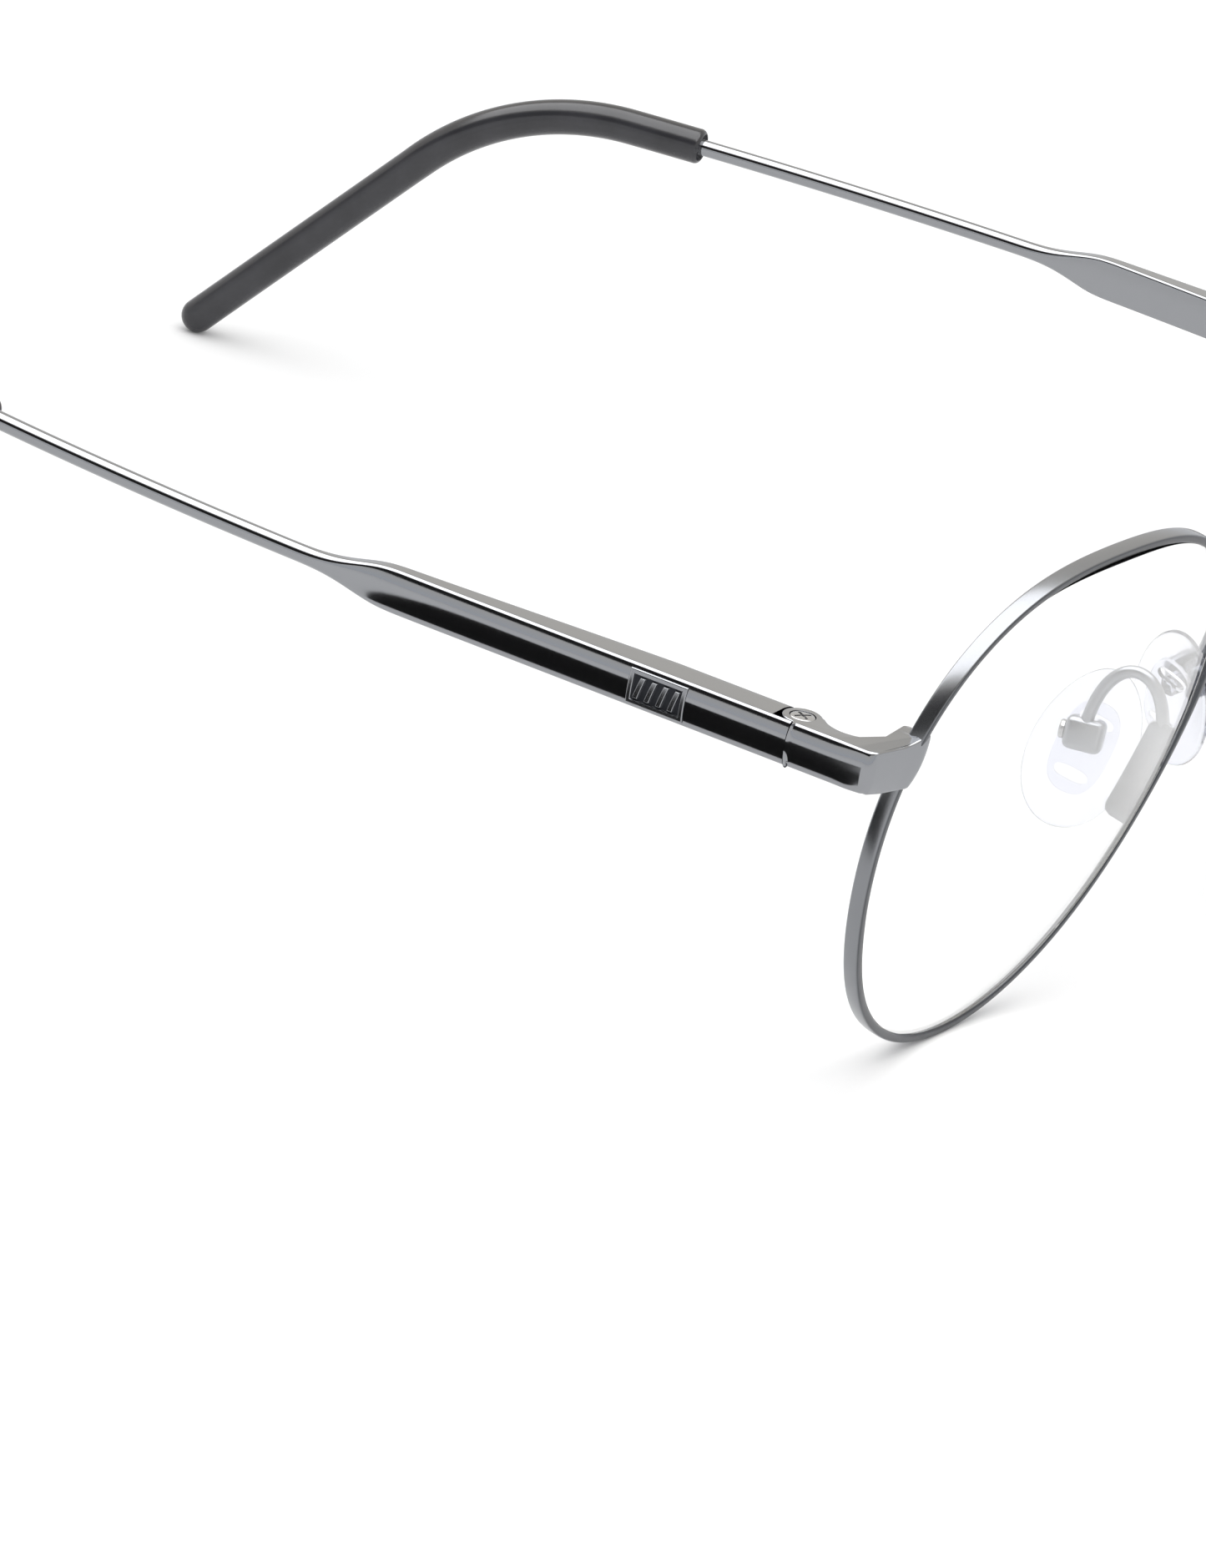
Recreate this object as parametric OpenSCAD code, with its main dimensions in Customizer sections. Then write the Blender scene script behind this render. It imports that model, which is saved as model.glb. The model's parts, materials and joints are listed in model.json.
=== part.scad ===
// Round wire eyeglasses: tilted and wrapped metal front, solid end pieces with a three-leaf
// hinge, blade temples that neck down to a bowed wire, and screw-on nose pads.
// Millimetres. +Z up, the front faces -Y, the temples run back along +Y, the wearer's left is +X.
// The glasses stand on the two rims and the two temple tips.

/* [Lenses] */
// Width of a lens, measured over its bevel
lens_w = 48; // [42:1:58]
// Height of a lens, measured over its bevel
lens_h = 44.5; // [37:0.5:54]
// How far the outline leans from round towards a pear-like panto shape
panto = 0.049; // [0:0.005:0.06]
// How far the outline leans from round towards square
squareness = 0.016; // [0:0.002:0.02]
// Thickness of a lens
lens_t = 1.7; // [1.5:0.1:2]
// Radius of the middle surface of a lens
lens_curve_r = 130; // [90:5:200]
// Height of the bevel that sits in the rim's groove
bevel_h = 0.35; // [0.2:0.05:0.4]
// Width of the bevel
bevel_w = 0.5; // [0.3:0.05:0.6]

/* [Rims and bridge] */
// Distance between the lenses
lens_gap = 21; // [17:1:26]
// Thickness of a rim, seen from the front
rim_t = 0.75; // [0.7:0.05:1]
// Depth of a rim, front to back
rim_d = 1.42; // [1.2:0.02:1.8]
// Forward lean of the top of the front, in degrees
front_tilt = 9.2; // [4:0.2:12]
// Backward turn of each outer side of the front, in degrees
front_wrap = 4; // [0:0.5:7]
// Radius of the bridge's arch
bridge_r = 13; // [12:0.5:20]
// Height of the bridge's ends above the lens centres
bridge_rise = 6.5; // [3:0.5:9]
// Thickness of the bridge's wire
bridge_d = 1.6; // [1.2:0.1:2.2]

/* [End pieces and hinges] */
// Overhang of the end piece's outer face beyond the lens
end_reach = 4.95; // [4.5:0.05:6.5]
// Distance of the hinge axis behind the lens centres
hinge_back = 8.3; // [8:0.1:11]
// Distance of the hinge axis in from the outer face
hinge_inset = 2.35; // [2.2:0.05:2.8]
// Height of the end piece and of the temple's blade
blade_h = 3.66; // [3.2:0.02:4.6]
// Height of the temples' axis above the lens centres
temple_rise = 7.6; // [4:0.1:10]
// Radius of the round hinge barrel
barrel_r = 1.65; // [1.5:0.05:1.9]
// Thickness of the end piece's upper and lower hinge leaf
leaf_t = 1.15; // [0.9:0.05:1.3]
// Radius of the hinge screw's shank
hinge_screw_r = 0.55; // [0.4:0.05:0.65]
// Radius of the hinge screw's head
hinge_head_r = 1.05; // [0.9:0.05:1.15]

/* [Temples] */
// Thickness of the blade at the hinge
blade_t = 3.5; // [3:0.1:4]
// Distance behind the lens centres at which the blade's inner face starts to taper
taper_start = 20; // [16:1:26]
// Distance behind the lens centres at which the blade starts to neck down
neck_start = 43.5; // [40:0.5:52]
// Length of the neck
neck_len = 11; // [8:0.5:14]
// Diameter of the temple's wire
wire_d = 1.5; // [1.2:0.1:1.8]
// Distance behind the lens centres at which the temple starts to bow inwards
bow_start = 40; // [36:1:60]
// Radius of the inward bow
bow_r = 280; // [230:10:400]
// Distance behind the lens centres at which the ear bend starts
ear_start = 92; // [80:1:110]
// Radius of the ear bend
ear_r = 26; // [20:1:32]
// Angle of the ear bend, in degrees
ear_angle = 48; // [40:1:56]
// Length of the sleeve ahead of the ear bend
sleeve_lead = 7; // [4:1:14]
// Diameter of the temple tip's sleeve
sleeve_d = 3.3; // [2.8:0.1:4.2]
// Length of solid sleeve past the end of the wire
sleeve_plug = 9; // [5:1:12]
// Length of the badge plate
badge_l = 5.1; // [4:0.1:6]
// Height of the badge plate
badge_h = 2.9; // [2.2:0.1:3.1]
// Distance of the badge plate's middle behind the hinge axis
badge_back = 11.5; // [9:0.5:16]

/* [Nose pads] */
// Distance between the middles of the two pad boxes
pad_spread = 20.8; // [18:0.2:24]
// Distance of the pad screw behind the lens centres
pad_back = 6.8; // [6:0.1:9]
// Depth of the pad screw below the lens centres
pad_drop = 4.6; // [2:0.2:8]
// Length of a nose pad
pad_len = 14; // [12:0.5:16]
// Width of a nose pad
pad_w = 8.6; // [7:0.2:10]
// Thickness of a nose pad at its middle
pad_t = 1.7; // [1.5:0.1:2.2]
// Turn of the pads that brings their lower ends apart, in degrees
pad_frontal = 16; // [8:1:25]
// Turn of the pads that brings their back edges apart, in degrees
pad_splay = 18; // [10:1:30]
// Lean that brings the lower end of each pad back, in degrees
pad_lean = 13; // [0:1:20]
// Diameter of the pad arm's wire
arm_d = 1.05; // [0.9:0.05:1.2]
// Height of the pad arm's loop above the pad screw
arm_loop = 6.6; // [6:0.2:8]

/* [Clearances] */
// Gap between a screw and the hole that holds it
held_gap = 0.02; // [0.01:0.01:0.05]
// Gap between a hinge pin or screw and the hole that turns on it
turn_gap = 0.04; // [0.02:0.01:0.08]
// Gap between leaves that slide over each other
leaf_gap = 0.05; // [0.03:0.01:0.08]
// Gap between the end piece and the opened temple
seam_gap = 0.05; // [0.03:0.01:0.1]
// Gap around the hinge barrel
barrel_gap = 0.1; // [0.08:0.01:0.15]
// Gap between a lens or plate and the metal around it
seat_gap = 0.02; // [0.01:0.01:0.04]

/* [Hidden] */
$fn = 64;

gunmetal = [0.46, 0.47, 0.49];
dark_steel = [0.34, 0.35, 0.37];
clear_glass = [0.86, 0.92, 0.95, 0.4];
clear_silicone = [0.9, 0.92, 0.94, 0.6];
black_acetate = [0.06, 0.06, 0.07];

// Lens outline: a circle with a three-lobed and a four-lobed wave on its radius, stretched so
// that its box is lens_w by lens_h.
OUTLINE_STEPS = 96;
function wave(a) = 1 + panto * sin(3 * a) - squareness * cos(4 * a);
function steps(n) = [for (i = [0:n - 1]) 360 * i / n];
wave_x = max([for (a = steps(OUTLINE_STEPS)) cos(a) * wave(a)]);
wave_top = max([for (a = steps(OUTLINE_STEPS)) sin(a) * wave(a)]);
wave_bottom = min([for (a = steps(OUTLINE_STEPS)) sin(a) * wave(a)]);
stretch_x = lens_w / 2 / wave_x;
stretch_z = lens_h / (wave_top - wave_bottom);
function edge(a, grow) = [
    cos(a) * (stretch_x * wave(a) + grow),
    sin(a) * (stretch_z * wave(a) + grow)
];
function outline(grow) = [for (a = steps(OUTLINE_STEPS)) edge(a, grow)];
function arc(centre, r, from, to, n = 12) =
    [for (i = [0:n]) centre + r * [cos(from + (to - from) * i / n), sin(from + (to - from) * i / n)]];

rim_in = -bevel_h;
rim_out = rim_t - bevel_h;
eye_x = (lens_gap + lens_w) / 2;
outer_x = eye_x + lens_w / 2 + end_reach;
hinge_x = outer_x - hinge_inset;
wire_r = wire_d / 2;
neck_skin = 0.03;
sleeve_r = sleeve_d / 2;
arm_r = arm_d / 2;
big = 40;
tube_step = 0.02;
tube_lap = 0.3;

// Height of the lens centres when the rims stand on the table.
lift = -min([for (p = outline(rim_out)) p.y]) * cos(front_tilt) + rim_d / 2 * sin(front_tilt);

// The bowed wire and the ear bend; the straight tip is as long as it takes to reach the table.
bow_angle = asin((ear_start - bow_start) / bow_r);
wire_x = outer_x - wire_r - neck_skin;
ear_x = wire_x - bow_r * (1 - cos(bow_angle));
tip_drop = lift + temple_rise - sleeve_r + 2 * tube_step;
tip_len = (tip_drop - ear_r * (1 - cos(ear_angle))) / sin(ear_angle);
tip_run = ear_r * sin(ear_angle) + tip_len * cos(ear_angle);
rear_y = ear_start + tip_run * cos(bow_angle) + sleeve_r - 2 * tube_step;

// The front-most point is on a rim or on the bridge's arch.
bridge_half = lens_gap / 2 - rim_out + 0.2;
nasal_lead = (eye_x - bridge_half) * sin(front_wrap);
arch_z = bridge_rise - sqrt(pow(bridge_r, 2) - pow(bridge_half, 2));
arch_front = -nasal_lead * cos(front_tilt) - (arch_z + bridge_r) * sin(front_tilt) - bridge_d / 2;
rim_front = min([for (p = outline(rim_out))
    p.x * sin(front_wrap) - (p.y * sin(front_tilt) + rim_d / 2 * cos(front_tilt)) * cos(front_wrap)]);
front_y = min(arch_front, rim_front);
middle_y = (front_y + rear_y) / 2;

// Hinge levels, measured from the temple's axis.
knuckle_h = blade_h - 2 * leaf_t - 2 * leaf_gap;
head_h = 0.55;
slot_w = 0.24;
slot_deep = 0.22;

// Places every piece: the origin is on the table, in the middle of the glasses' footprint.
module seat() translate([0, -middle_y, lift]) children();

// One side is drawn for the wearer's left, and mirrored for the right.
module pair(side) mirror([side == "right" ? 1 : 0, 0, 0]) seat() children();

// The lens's own plane: X outwards, Z up, and Y back through the lens.
module lens_plane() translate([eye_x, 0, 0]) rotate([0, 0, front_wrap]) rotate([front_tilt, 0, 0]) children();
module slab(grow, depth) rotate([90, 0, 0]) linear_extrude(depth, center = true) polygon(outline(grow));

module rim() {
    lens_plane() difference() {
        slab(rim_out, rim_d);
        slab(rim_in, rim_d + 1);
        slab(seat_gap, bevel_w + 2 * seat_gap);
        translate([lens_w / 2, 0, temple_rise]) cube([lens_w / 3, rim_d + 1, lock_slit], center = true);
    }
}

module lens() {
    edge_r = (lens_w + lens_h) / 4;
    sag = lens_curve_r - sqrt(pow(lens_curve_r, 2) - pow(edge_r, 2));
    lens_plane() {
        intersection() {
            slab(rim_in - seat_gap, big);
            translate([0, lens_curve_r - sag, 0]) difference() {
                sphere(lens_curve_r + lens_t / 2, $fn = 220);
                sphere(lens_curve_r - lens_t / 2, $fn = 220);
                translate([0, lens_curve_r, 0]) cube(3 * lens_curve_r, center = true);
            }
        }
        difference() {
            slab(0, bevel_w);
            slab(rim_in - 1, bevel_w + 1);
        }
    }
}

// All that lies inside the rim's outer edge, for cutting what is soldered to it.
module rim_and_lens_space() lens_plane() slab(rim_out, big);

module bridge() {
    flat_turn = asin(bridge_half / bridge_r);
    lead = [0, -nasal_lead, arch_z];
    difference() {
        rotate([front_tilt, 0, 0]) translate(lead) rotate([90, 0, 0])
            rotate([0, 0, 90 - flat_turn - 6]) rotate_extrude(angle = 2 * flat_turn + 12)
                translate([bridge_r, 0]) circle(d = bridge_d);
        rim_and_lens_space();
        mirror([1, 0, 0]) rim_and_lens_space();
    }
}

// Seen from above, with the hinge axis at the origin: barrel, concave waist, rounded outer
// corner, and the lug that reaches in over the rim.
corner_r = 1;
waist_r = 2.7;
lug_slope = 14.5;
// The lens's front comes forward of its edge's middle, the nearer it is to the lens's centre.
lug_lens_gap = 0.06;
lug_reach_x = lens_w / 2 - 2.4;
lens_lead = (pow((lens_w + lens_h) / 4, 2) - pow(lug_reach_x, 2)) / (2 * lens_curve_r);
corner_y = -hinge_back + 0.55 + corner_r;
lug_back = -hinge_back + 1.75;
lug_end_x = hinge_inset - end_reach - 1.75;
lug_front_y = corner_y - corner_r * cos(lug_slope) - (hinge_inset - corner_r - lug_end_x) * tan(lug_slope);
waist_y = (lug_back - barrel_r) / 2 + 0.45;
waist_x = 0.1 - waist_r;
module endpiece_outline() {
    polygon(concat(
        [[hinge_inset, -seam_gap]],
        arc([hinge_inset - corner_r, corner_y], corner_r, 0, lug_slope - 90),
        [[lug_end_x + 0.3, lug_front_y], [lug_end_x, lug_front_y + 0.5], [lug_end_x + 0.2, lug_back]],
        arc([waist_x, waist_y], waist_r, -78, 52),
        arc([0, 0], barrel_r, 236, -asin(seam_gap / barrel_r), 32)
    ));
}

module on_hinge() translate([hinge_x, hinge_back, temple_rise]) children();

module endpiece() {
    difference() {
        on_hinge() difference() {
            linear_extrude(blade_h, center = true) endpiece_outline();
            cylinder(r = barrel_r + leaf_gap, h = knuckle_h + 2 * leaf_gap, center = true);
            translate([-barrel_r - leaf_gap, 0, -knuckle_h / 2 - leaf_gap])
                cube([barrel_r + 2, barrel_r + 2, knuckle_h + 2 * leaf_gap]);
            translate([0, 0, -blade_h]) cylinder(r = hinge_screw_r + held_gap, h = 2 * blade_h);
            translate([0, 0, blade_h / 2 - head_h - held_gap]) cylinder(r = hinge_head_r + held_gap, h = 2);
        }
        lens_plane() {
            translate([0, big / 2 - rim_d / 2, 0]) slab(rim_out, big);
            translate([0, big / 2 - lens_t / 2 - lens_lead - lug_lens_gap, 0]) slab(rim_in, big);
        }
        lock_pocket();
    }
}

// The rim is slit behind the end piece, and two blocks drawn together by a screw close it.
lock_slit = 0.2;
lock_w = 1.9;
lock_d = 2;
lock_h = 1.25;
lock_roof = 0.75;
lock_screw_r = 0.45;
lock_head_r = 0.75;
lock_head_h = 0.45;
lock_x = eye_x + lens_w / 2 + rim_out + 0.1;
lock_y = 1.35;
lock_top = temple_rise + blade_h / 2 - lock_roof;
lock_bottom = temple_rise - lock_slit / 2 - lock_h;
lock_screw_top = temple_rise + lock_slit / 2 + lock_h / 2;
lock_lap = 1.2;
lock_hole_x = lock_x + lock_w / 2 - 0.1;
module lock_block(bottom, height, depth = lock_d) {
    translate([lock_x - lock_lap, lock_y - lock_d / 2, bottom]) cube([lock_w + lock_lap, depth, height]);
}
module lock_pocket() lock_block(temple_rise - blade_h, lock_top - temple_rise + blade_h, 1.5 * lock_d);
module lock_hole(bottom, top) {
    translate([lock_hole_x, lock_y, bottom]) cylinder(r = lock_screw_r + held_gap, h = top - bottom);
}
module rim_lock_upper() {
    difference() {
        lock_block(temple_rise + lock_slit / 2, lock_top - temple_rise - lock_slit / 2);
        rim_and_lens_space();
        lock_hole(temple_rise, lock_screw_top + held_gap);
    }
}
module rim_lock_lower() {
    difference() {
        lock_block(lock_bottom, lock_h);
        rim_and_lens_space();
        lock_hole(lock_bottom - 1, temple_rise);
    }
}
module rim_lock_screw() {
    head_z = lock_bottom - lock_head_h;
    translate([lock_hole_x, lock_y, head_z]) difference() {
        union() {
            cylinder(r = lock_head_r, h = lock_head_h);
            cylinder(r = lock_screw_r, h = lock_screw_top - head_z);
        }
        cube([4, slot_w, 2 * slot_deep], center = true);
    }
}
module hinge_screw() {
    on_hinge() difference() {
        union() {
            translate([0, 0, -blade_h / 2]) cylinder(r = hinge_screw_r, h = blade_h);
            translate([0, 0, blade_h / 2 - head_h]) cylinder(r = hinge_head_r, h = head_h);
        }
        translate([0, 0, blade_h / 2]) {
            cube([1.5 * hinge_head_r, slot_w, 2 * slot_deep], center = true);
            cube([slot_w, 1.5 * hinge_head_r, 2 * slot_deep], center = true);
        }
    }
}

// Blade, neck and wire. The side view narrows along a cosine, and the top view is straight
// outside, tapered inside, and follows the bow past bow_start.
NECK_STEPS = 12;
knuckle_tail = 4.5;
neck_r = wire_r + neck_skin;
blade_in = hinge_inset - blade_t;
function bow_in(y) = y <= bow_start ? 0 : bow_r - sqrt(pow(bow_r, 2) - pow(y - bow_start, 2));
function ease(s) = (1 + cos(180 * s)) / 2;
function half_height(s) = neck_r + (blade_h / 2 - neck_r) * ease(s);
neck_end = neck_start + neck_len;
neck_s = [for (i = [0:NECK_STEPS]) i / NECK_STEPS];
module blade_side() {
    polygon(concat(
        [[hinge_back, -blade_h / 2], [hinge_back, blade_h / 2]],
        [for (s = neck_s) [neck_start + s * neck_len, half_height(s)]],
        [for (s = neck_s) [neck_end - s * neck_len, -half_height(1 - s)]]
    ));
}
module blade_top() {
    inner_end = neck_start + neck_len / 4;
    polygon(concat(
        [[hinge_x + blade_in, hinge_back]],
        [[hinge_x + blade_in, taper_start]],
        [[outer_x - 2 * neck_r - bow_in(inner_end), inner_end]],
        [for (s = neck_s) if (s > 0.3) let (y = neck_start + s * neck_len) [outer_x - 2 * neck_r - bow_in(y), y]],
        [for (s = neck_s) let (y = neck_end - s * (neck_end - bow_start)) [outer_x - bow_in(y), y]],
        [[outer_x, hinge_back]]
    ));
}

// A tube along the bow, the ear bend and the straight tip, from lead before the bend to stop
// before the end of the tip. Each stretch is a touch thinner than the one before and starts
// inside its end, so that the three are one solid.
module bent_tube(lead, stop, r) {
    lead_angle = bow_angle - asin((ear_start - lead - bow_start) / bow_r);
    translate([wire_x - bow_r, bow_start, temple_rise]) rotate([0, 0, bow_angle - lead_angle])
        rotate_extrude(angle = lead_angle + turn_for(tube_lap, bow_r)) translate([bow_r, 0]) circle(r);
    on_ear() {
        translate([0, 0, -ear_r]) rotate([0, -90, 0])
            rotate_extrude(angle = ear_angle + turn_for(tube_lap, ear_r))
                translate([ear_r, 0]) circle(r - tube_step);
        along_tip() cylinder(r = r - 2 * tube_step, h = tip_len - stop);
    }
}
function turn_for(length, r) = length / r * 180 / PI;
module on_ear() translate([ear_x, ear_start, temple_rise]) rotate([0, 0, bow_angle]) children();
module along_tip() translate([0, ear_r * sin(ear_angle), ear_r * cos(ear_angle) - ear_r])
    rotate([-90 - ear_angle, 0, 0]) children();

module temple() {
    difference() {
        union() {
            intersection() {
                translate([hinge_x, 0, temple_rise]) rotate([90, 0, 90])
                    linear_extrude(big, center = true) blade_side();
                translate([0, 0, temple_rise - big / 2]) linear_extrude(big) blade_top();
            }
            bent_tube(ear_start - neck_end + 4, sleeve_plug, wire_r);
        }
        on_hinge() {
            cylinder(r = barrel_r + barrel_gap, h = big, center = true);
            translate([0, 0, -big / 2]) cube([barrel_r + barrel_gap, barrel_r + barrel_gap, big]);
            translate([-barrel_r - 2, -1, -big / 2]) cube([barrel_r + 2, 1 + barrel_r / 2, big]);
            knuckle_plate(knuckle_tail, seat_gap / 2);
        }
        translate([outer_x - badge_deep, hinge_back + badge_back, temple_rise])
            badge_block(1, seat_gap);
    }
}

module knuckle_plate(tail, grow) {
    width = 2 * (barrel_r - 0.6);
    translate([-width / 2 - grow, 0, -knuckle_h / 2 - grow])
        cube([width + 2 * grow, barrel_r + tail + grow, knuckle_h + 2 * grow]);
}
module temple_knuckle() {
    on_hinge() difference() {
        union() {
            cylinder(r = barrel_r - leaf_gap, h = knuckle_h, center = true);
            knuckle_plate(knuckle_tail - seat_gap, 0);
        }
        cylinder(r = hinge_screw_r + turn_gap, h = 2 * knuckle_h, center = true);
    }
}

// A plain fluted plate let into the blade's outer face.
badge_deep = 0.3;
badge_proud = 0.12;
badge_border = 0.35;
BADGE_RIBS = 5;
module badge_block(height, grow) {
    translate([0, -badge_l / 2 - grow, -badge_h / 2 - grow])
        cube([height, badge_l + 2 * grow, badge_h + 2 * grow]);
}
module temple_badge() {
    panel_l = badge_l - 2 * badge_border;
    panel_h = badge_h - 2 * badge_border;
    pitch = panel_l / BADGE_RIBS;
    translate([outer_x - badge_deep, hinge_back + badge_back, temple_rise]) difference() {
        badge_block(badge_deep + badge_proud, 0);
        for (i = [0:BADGE_RIBS - 1])
            translate([badge_deep - 0.1, -panel_l / 2 + (i + 0.2) * pitch, -panel_h / 2])
                cube([1, 0.6 * pitch, panel_h]);
    }
}

module temple_tip() {
    difference() {
        union() {
            bent_tube(sleeve_lead, 0, sleeve_r);
            on_ear() along_tip() translate([0, 0, tip_len]) sphere(sleeve_r - 2 * tube_step);
        }
        bent_tube(sleeve_lead + 1, sleeve_plug - seat_gap, wire_r + seat_gap);
    }
}

// The pad's own axes: X outwards, Y back along the pad screw, Z up the pad.
box_x = 3;
box_y = 3.2;
box_z = 2.8;
box_slot = 1.5;
boss_r = 0.95;
pad_screw_r = 0.4;
pad_head_r = 0.8;
pad_head_h = 0.5;
pad_stand = box_x / 2 + 0.5;
pad_low = 1.3;
plate_l = 7.5;
plate_w = 4.2;
plate_t = 0.6;
module on_pad() translate([pad_spread / 2, pad_back, -pad_drop])
    rotate([0, 0, -pad_splay]) rotate([0, -pad_frontal, 0]) children();
module along_y(r, h) rotate([90, 0, 0]) cylinder(r = r, h = h, center = true);

module pad_box() {
    on_pad() difference() {
        cube([box_x, box_y, box_z], center = true);
        translate([-box_x / 2, 0, 0])
            cube([2 * (box_x / 2 + boss_r + 2 * leaf_gap), box_slot + 2 * leaf_gap, 2 * box_z], center = true);
        along_y(pad_screw_r + held_gap, 2 * box_y);
    }
}
module pad_screw() {
    on_pad() difference() {
        union() {
            translate([0, held_gap, 0]) along_y(pad_screw_r, box_y);
            translate([0, (box_y + pad_head_h) / 2 + held_gap, 0]) along_y(pad_head_r, pad_head_h);
        }
        translate([0, box_y / 2 + pad_head_h + held_gap, 0]) cube([slot_w, 2 * slot_deep, 4], center = true);
    }
}
module leaning() translate([0, 0, -pad_low]) rotate([pad_lean, 0, 0]) children();
module pad_plate(grow) {
    leaning() translate([-pad_stand - pad_t / 2, 0, 0])
        cube([plate_t + 2 * grow, plate_w + 2 * grow, plate_l + 2 * grow], center = true);
    translate([-(pad_stand + pad_t / 2) / 2, 0, 0])
        cube([pad_stand + pad_t / 2, 1.2 + 2 * grow, 1.4 + 2 * grow], center = true);
}
module pad_insert() {
    on_pad() difference() {
        union() {
            along_y(boss_r, box_slot);
            pad_plate(0);
        }
        along_y(pad_screw_r + turn_gap, 2 * box_y);
    }
}
module nose_pad() {
    crown_r = 24;
    pad_outline = [for (a = steps(48))
        [pad_w / 2 * cos(a) * (1 - 0.1 * sin(a)), pad_len / 2 * sin(a)]];
    on_pad() difference() {
        leaning() translate([-pad_stand, 0, 0]) intersection() {
            rotate([90, 0, -90]) linear_extrude(pad_t) polygon(pad_outline);
            translate([crown_r - pad_t, 0, 0]) sphere(crown_r, $fn = 160);
        }
        pad_plate(0);
    }
}

// The arm: a strip soldered to the rim's nasal flank, and a wire that stands up from it, loops
// back in a half circle and comes down into the box.
FOOT_FROM = 49;
FOOT_TO = 55;
foot_t = 0.8;
foot_front = -0.35;
foot_back = 3;
function tilted(p) = [
    eye_x + p.x * cos(front_wrap) - (p.y * cos(front_tilt) - p.z * sin(front_tilt)) * sin(front_wrap),
    p.x * sin(front_wrap) + (p.y * cos(front_tilt) - p.z * sin(front_tilt)) * cos(front_wrap),
    p.y * sin(front_tilt) + p.z * cos(front_tilt)
];
function foot_edge(i, grow) = edge(360 * i / OUTLINE_STEPS, grow);
foot_top = foot_edge(FOOT_FROM + 0.5, rim_out + arm_r + 0.05);
arm_from = tilted([foot_top.x, foot_back - 2 * arm_r, foot_top.y]);
arm_to = [
    pad_spread / 2 + 0.2 * box_x * cos(pad_splay),
    pad_back - 0.2 * box_x * sin(pad_splay),
    -pad_drop
];
arm_run = [arm_to.x - arm_from.x, arm_to.y - arm_from.y];
loop_r = norm(arm_run) / 2;
loop_z = -pad_drop + arm_loop - loop_r;
module arm_leg(at, bottom) {
    translate([at.x, at.y, bottom]) cylinder(r = arm_r + tube_step, h = loop_z - bottom);
}
module pad_arm() {
    turns = [for (i = [FOOT_FROM:FOOT_TO]) i];
    difference() {
        union() {
            lens_plane() translate([0, foot_back, 0]) rotate([90, 0, 0])
                linear_extrude(foot_back - foot_front) polygon(concat(
                    [for (i = turns) foot_edge(i, rim_out)],
                    [for (i = turns) foot_edge(FOOT_FROM + FOOT_TO - i, rim_out + foot_t)]
                ));
            arm_leg(arm_from, arm_from.z);
            arm_leg(arm_to, arm_to.z);
            translate([(arm_from.x + arm_to.x) / 2, (arm_from.y + arm_to.y) / 2, loop_z])
                rotate([0, 0, atan2(arm_run.y, arm_run.x)]) rotate([90, 0, 0])
                    rotate([0, 0, -turn_for(tube_lap, loop_r)])
                        rotate_extrude(angle = 180 + 2 * turn_for(tube_lap, loop_r))
                            translate([loop_r, 0]) circle(arm_r);
        }
        on_pad() cube([box_x, box_y, box_z], center = true);
    }
}

color(gunmetal) seat() bridge();
color(gunmetal) pair("right") rim();  // right_rim
color(gunmetal) pair("left") rim();  // left_rim
color(clear_glass) pair("right") lens();  // right_lens
color(clear_glass) pair("left") lens();  // left_lens
color(gunmetal) pair("right") endpiece();  // right_endpiece
color(gunmetal) pair("left") endpiece();  // left_endpiece
color(dark_steel) pair("right") rim_lock_upper();  // right_rim_lock_upper
color(dark_steel) pair("left") rim_lock_upper();  // left_rim_lock_upper
color(dark_steel) pair("right") rim_lock_lower();  // right_rim_lock_lower
color(dark_steel) pair("left") rim_lock_lower();  // left_rim_lock_lower
color(dark_steel) pair("right") rim_lock_screw();  // right_rim_lock_screw
color(dark_steel) pair("left") rim_lock_screw();  // left_rim_lock_screw
color(gunmetal) pair("right") pad_arm();  // right_pad_arm
color(gunmetal) pair("left") pad_arm();  // left_pad_arm
color(gunmetal) pair("right") pad_box();  // right_pad_box
color(gunmetal) pair("left") pad_box();  // left_pad_box
color(dark_steel) pair("right") pad_screw();  // right_pad_screw
color(dark_steel) pair("left") pad_screw();  // left_pad_screw
color(dark_steel) pair("right") pad_insert();  // right_pad_insert
color(dark_steel) pair("left") pad_insert();  // left_pad_insert
color(clear_silicone) pair("right") nose_pad();  // right_nose_pad
color(clear_silicone) pair("left") nose_pad();  // left_nose_pad
color(dark_steel) pair("right") hinge_screw();  // right_hinge_screw
color(dark_steel) pair("left") hinge_screw();  // left_hinge_screw
color(gunmetal) pair("right") temple();  // right_temple
color(gunmetal) pair("left") temple();  // left_temple
color(dark_steel) pair("right") temple_knuckle();  // right_temple_knuckle
color(dark_steel) pair("left") temple_knuckle();  // left_temple_knuckle
color(dark_steel) pair("right") temple_badge();  // right_temple_badge
color(dark_steel) pair("left") temple_badge();  // left_temple_badge
color(black_acetate) pair("right") temple_tip();  // right_temple_tip
color(black_acetate) pair("left") temple_tip();  // left_temple_tip
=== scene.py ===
import json

import bmesh
import bpy
import numpy as np
from bpy.props import FloatProperty, FloatVectorProperty, PointerProperty
from mathutils import Matrix, Vector


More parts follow.
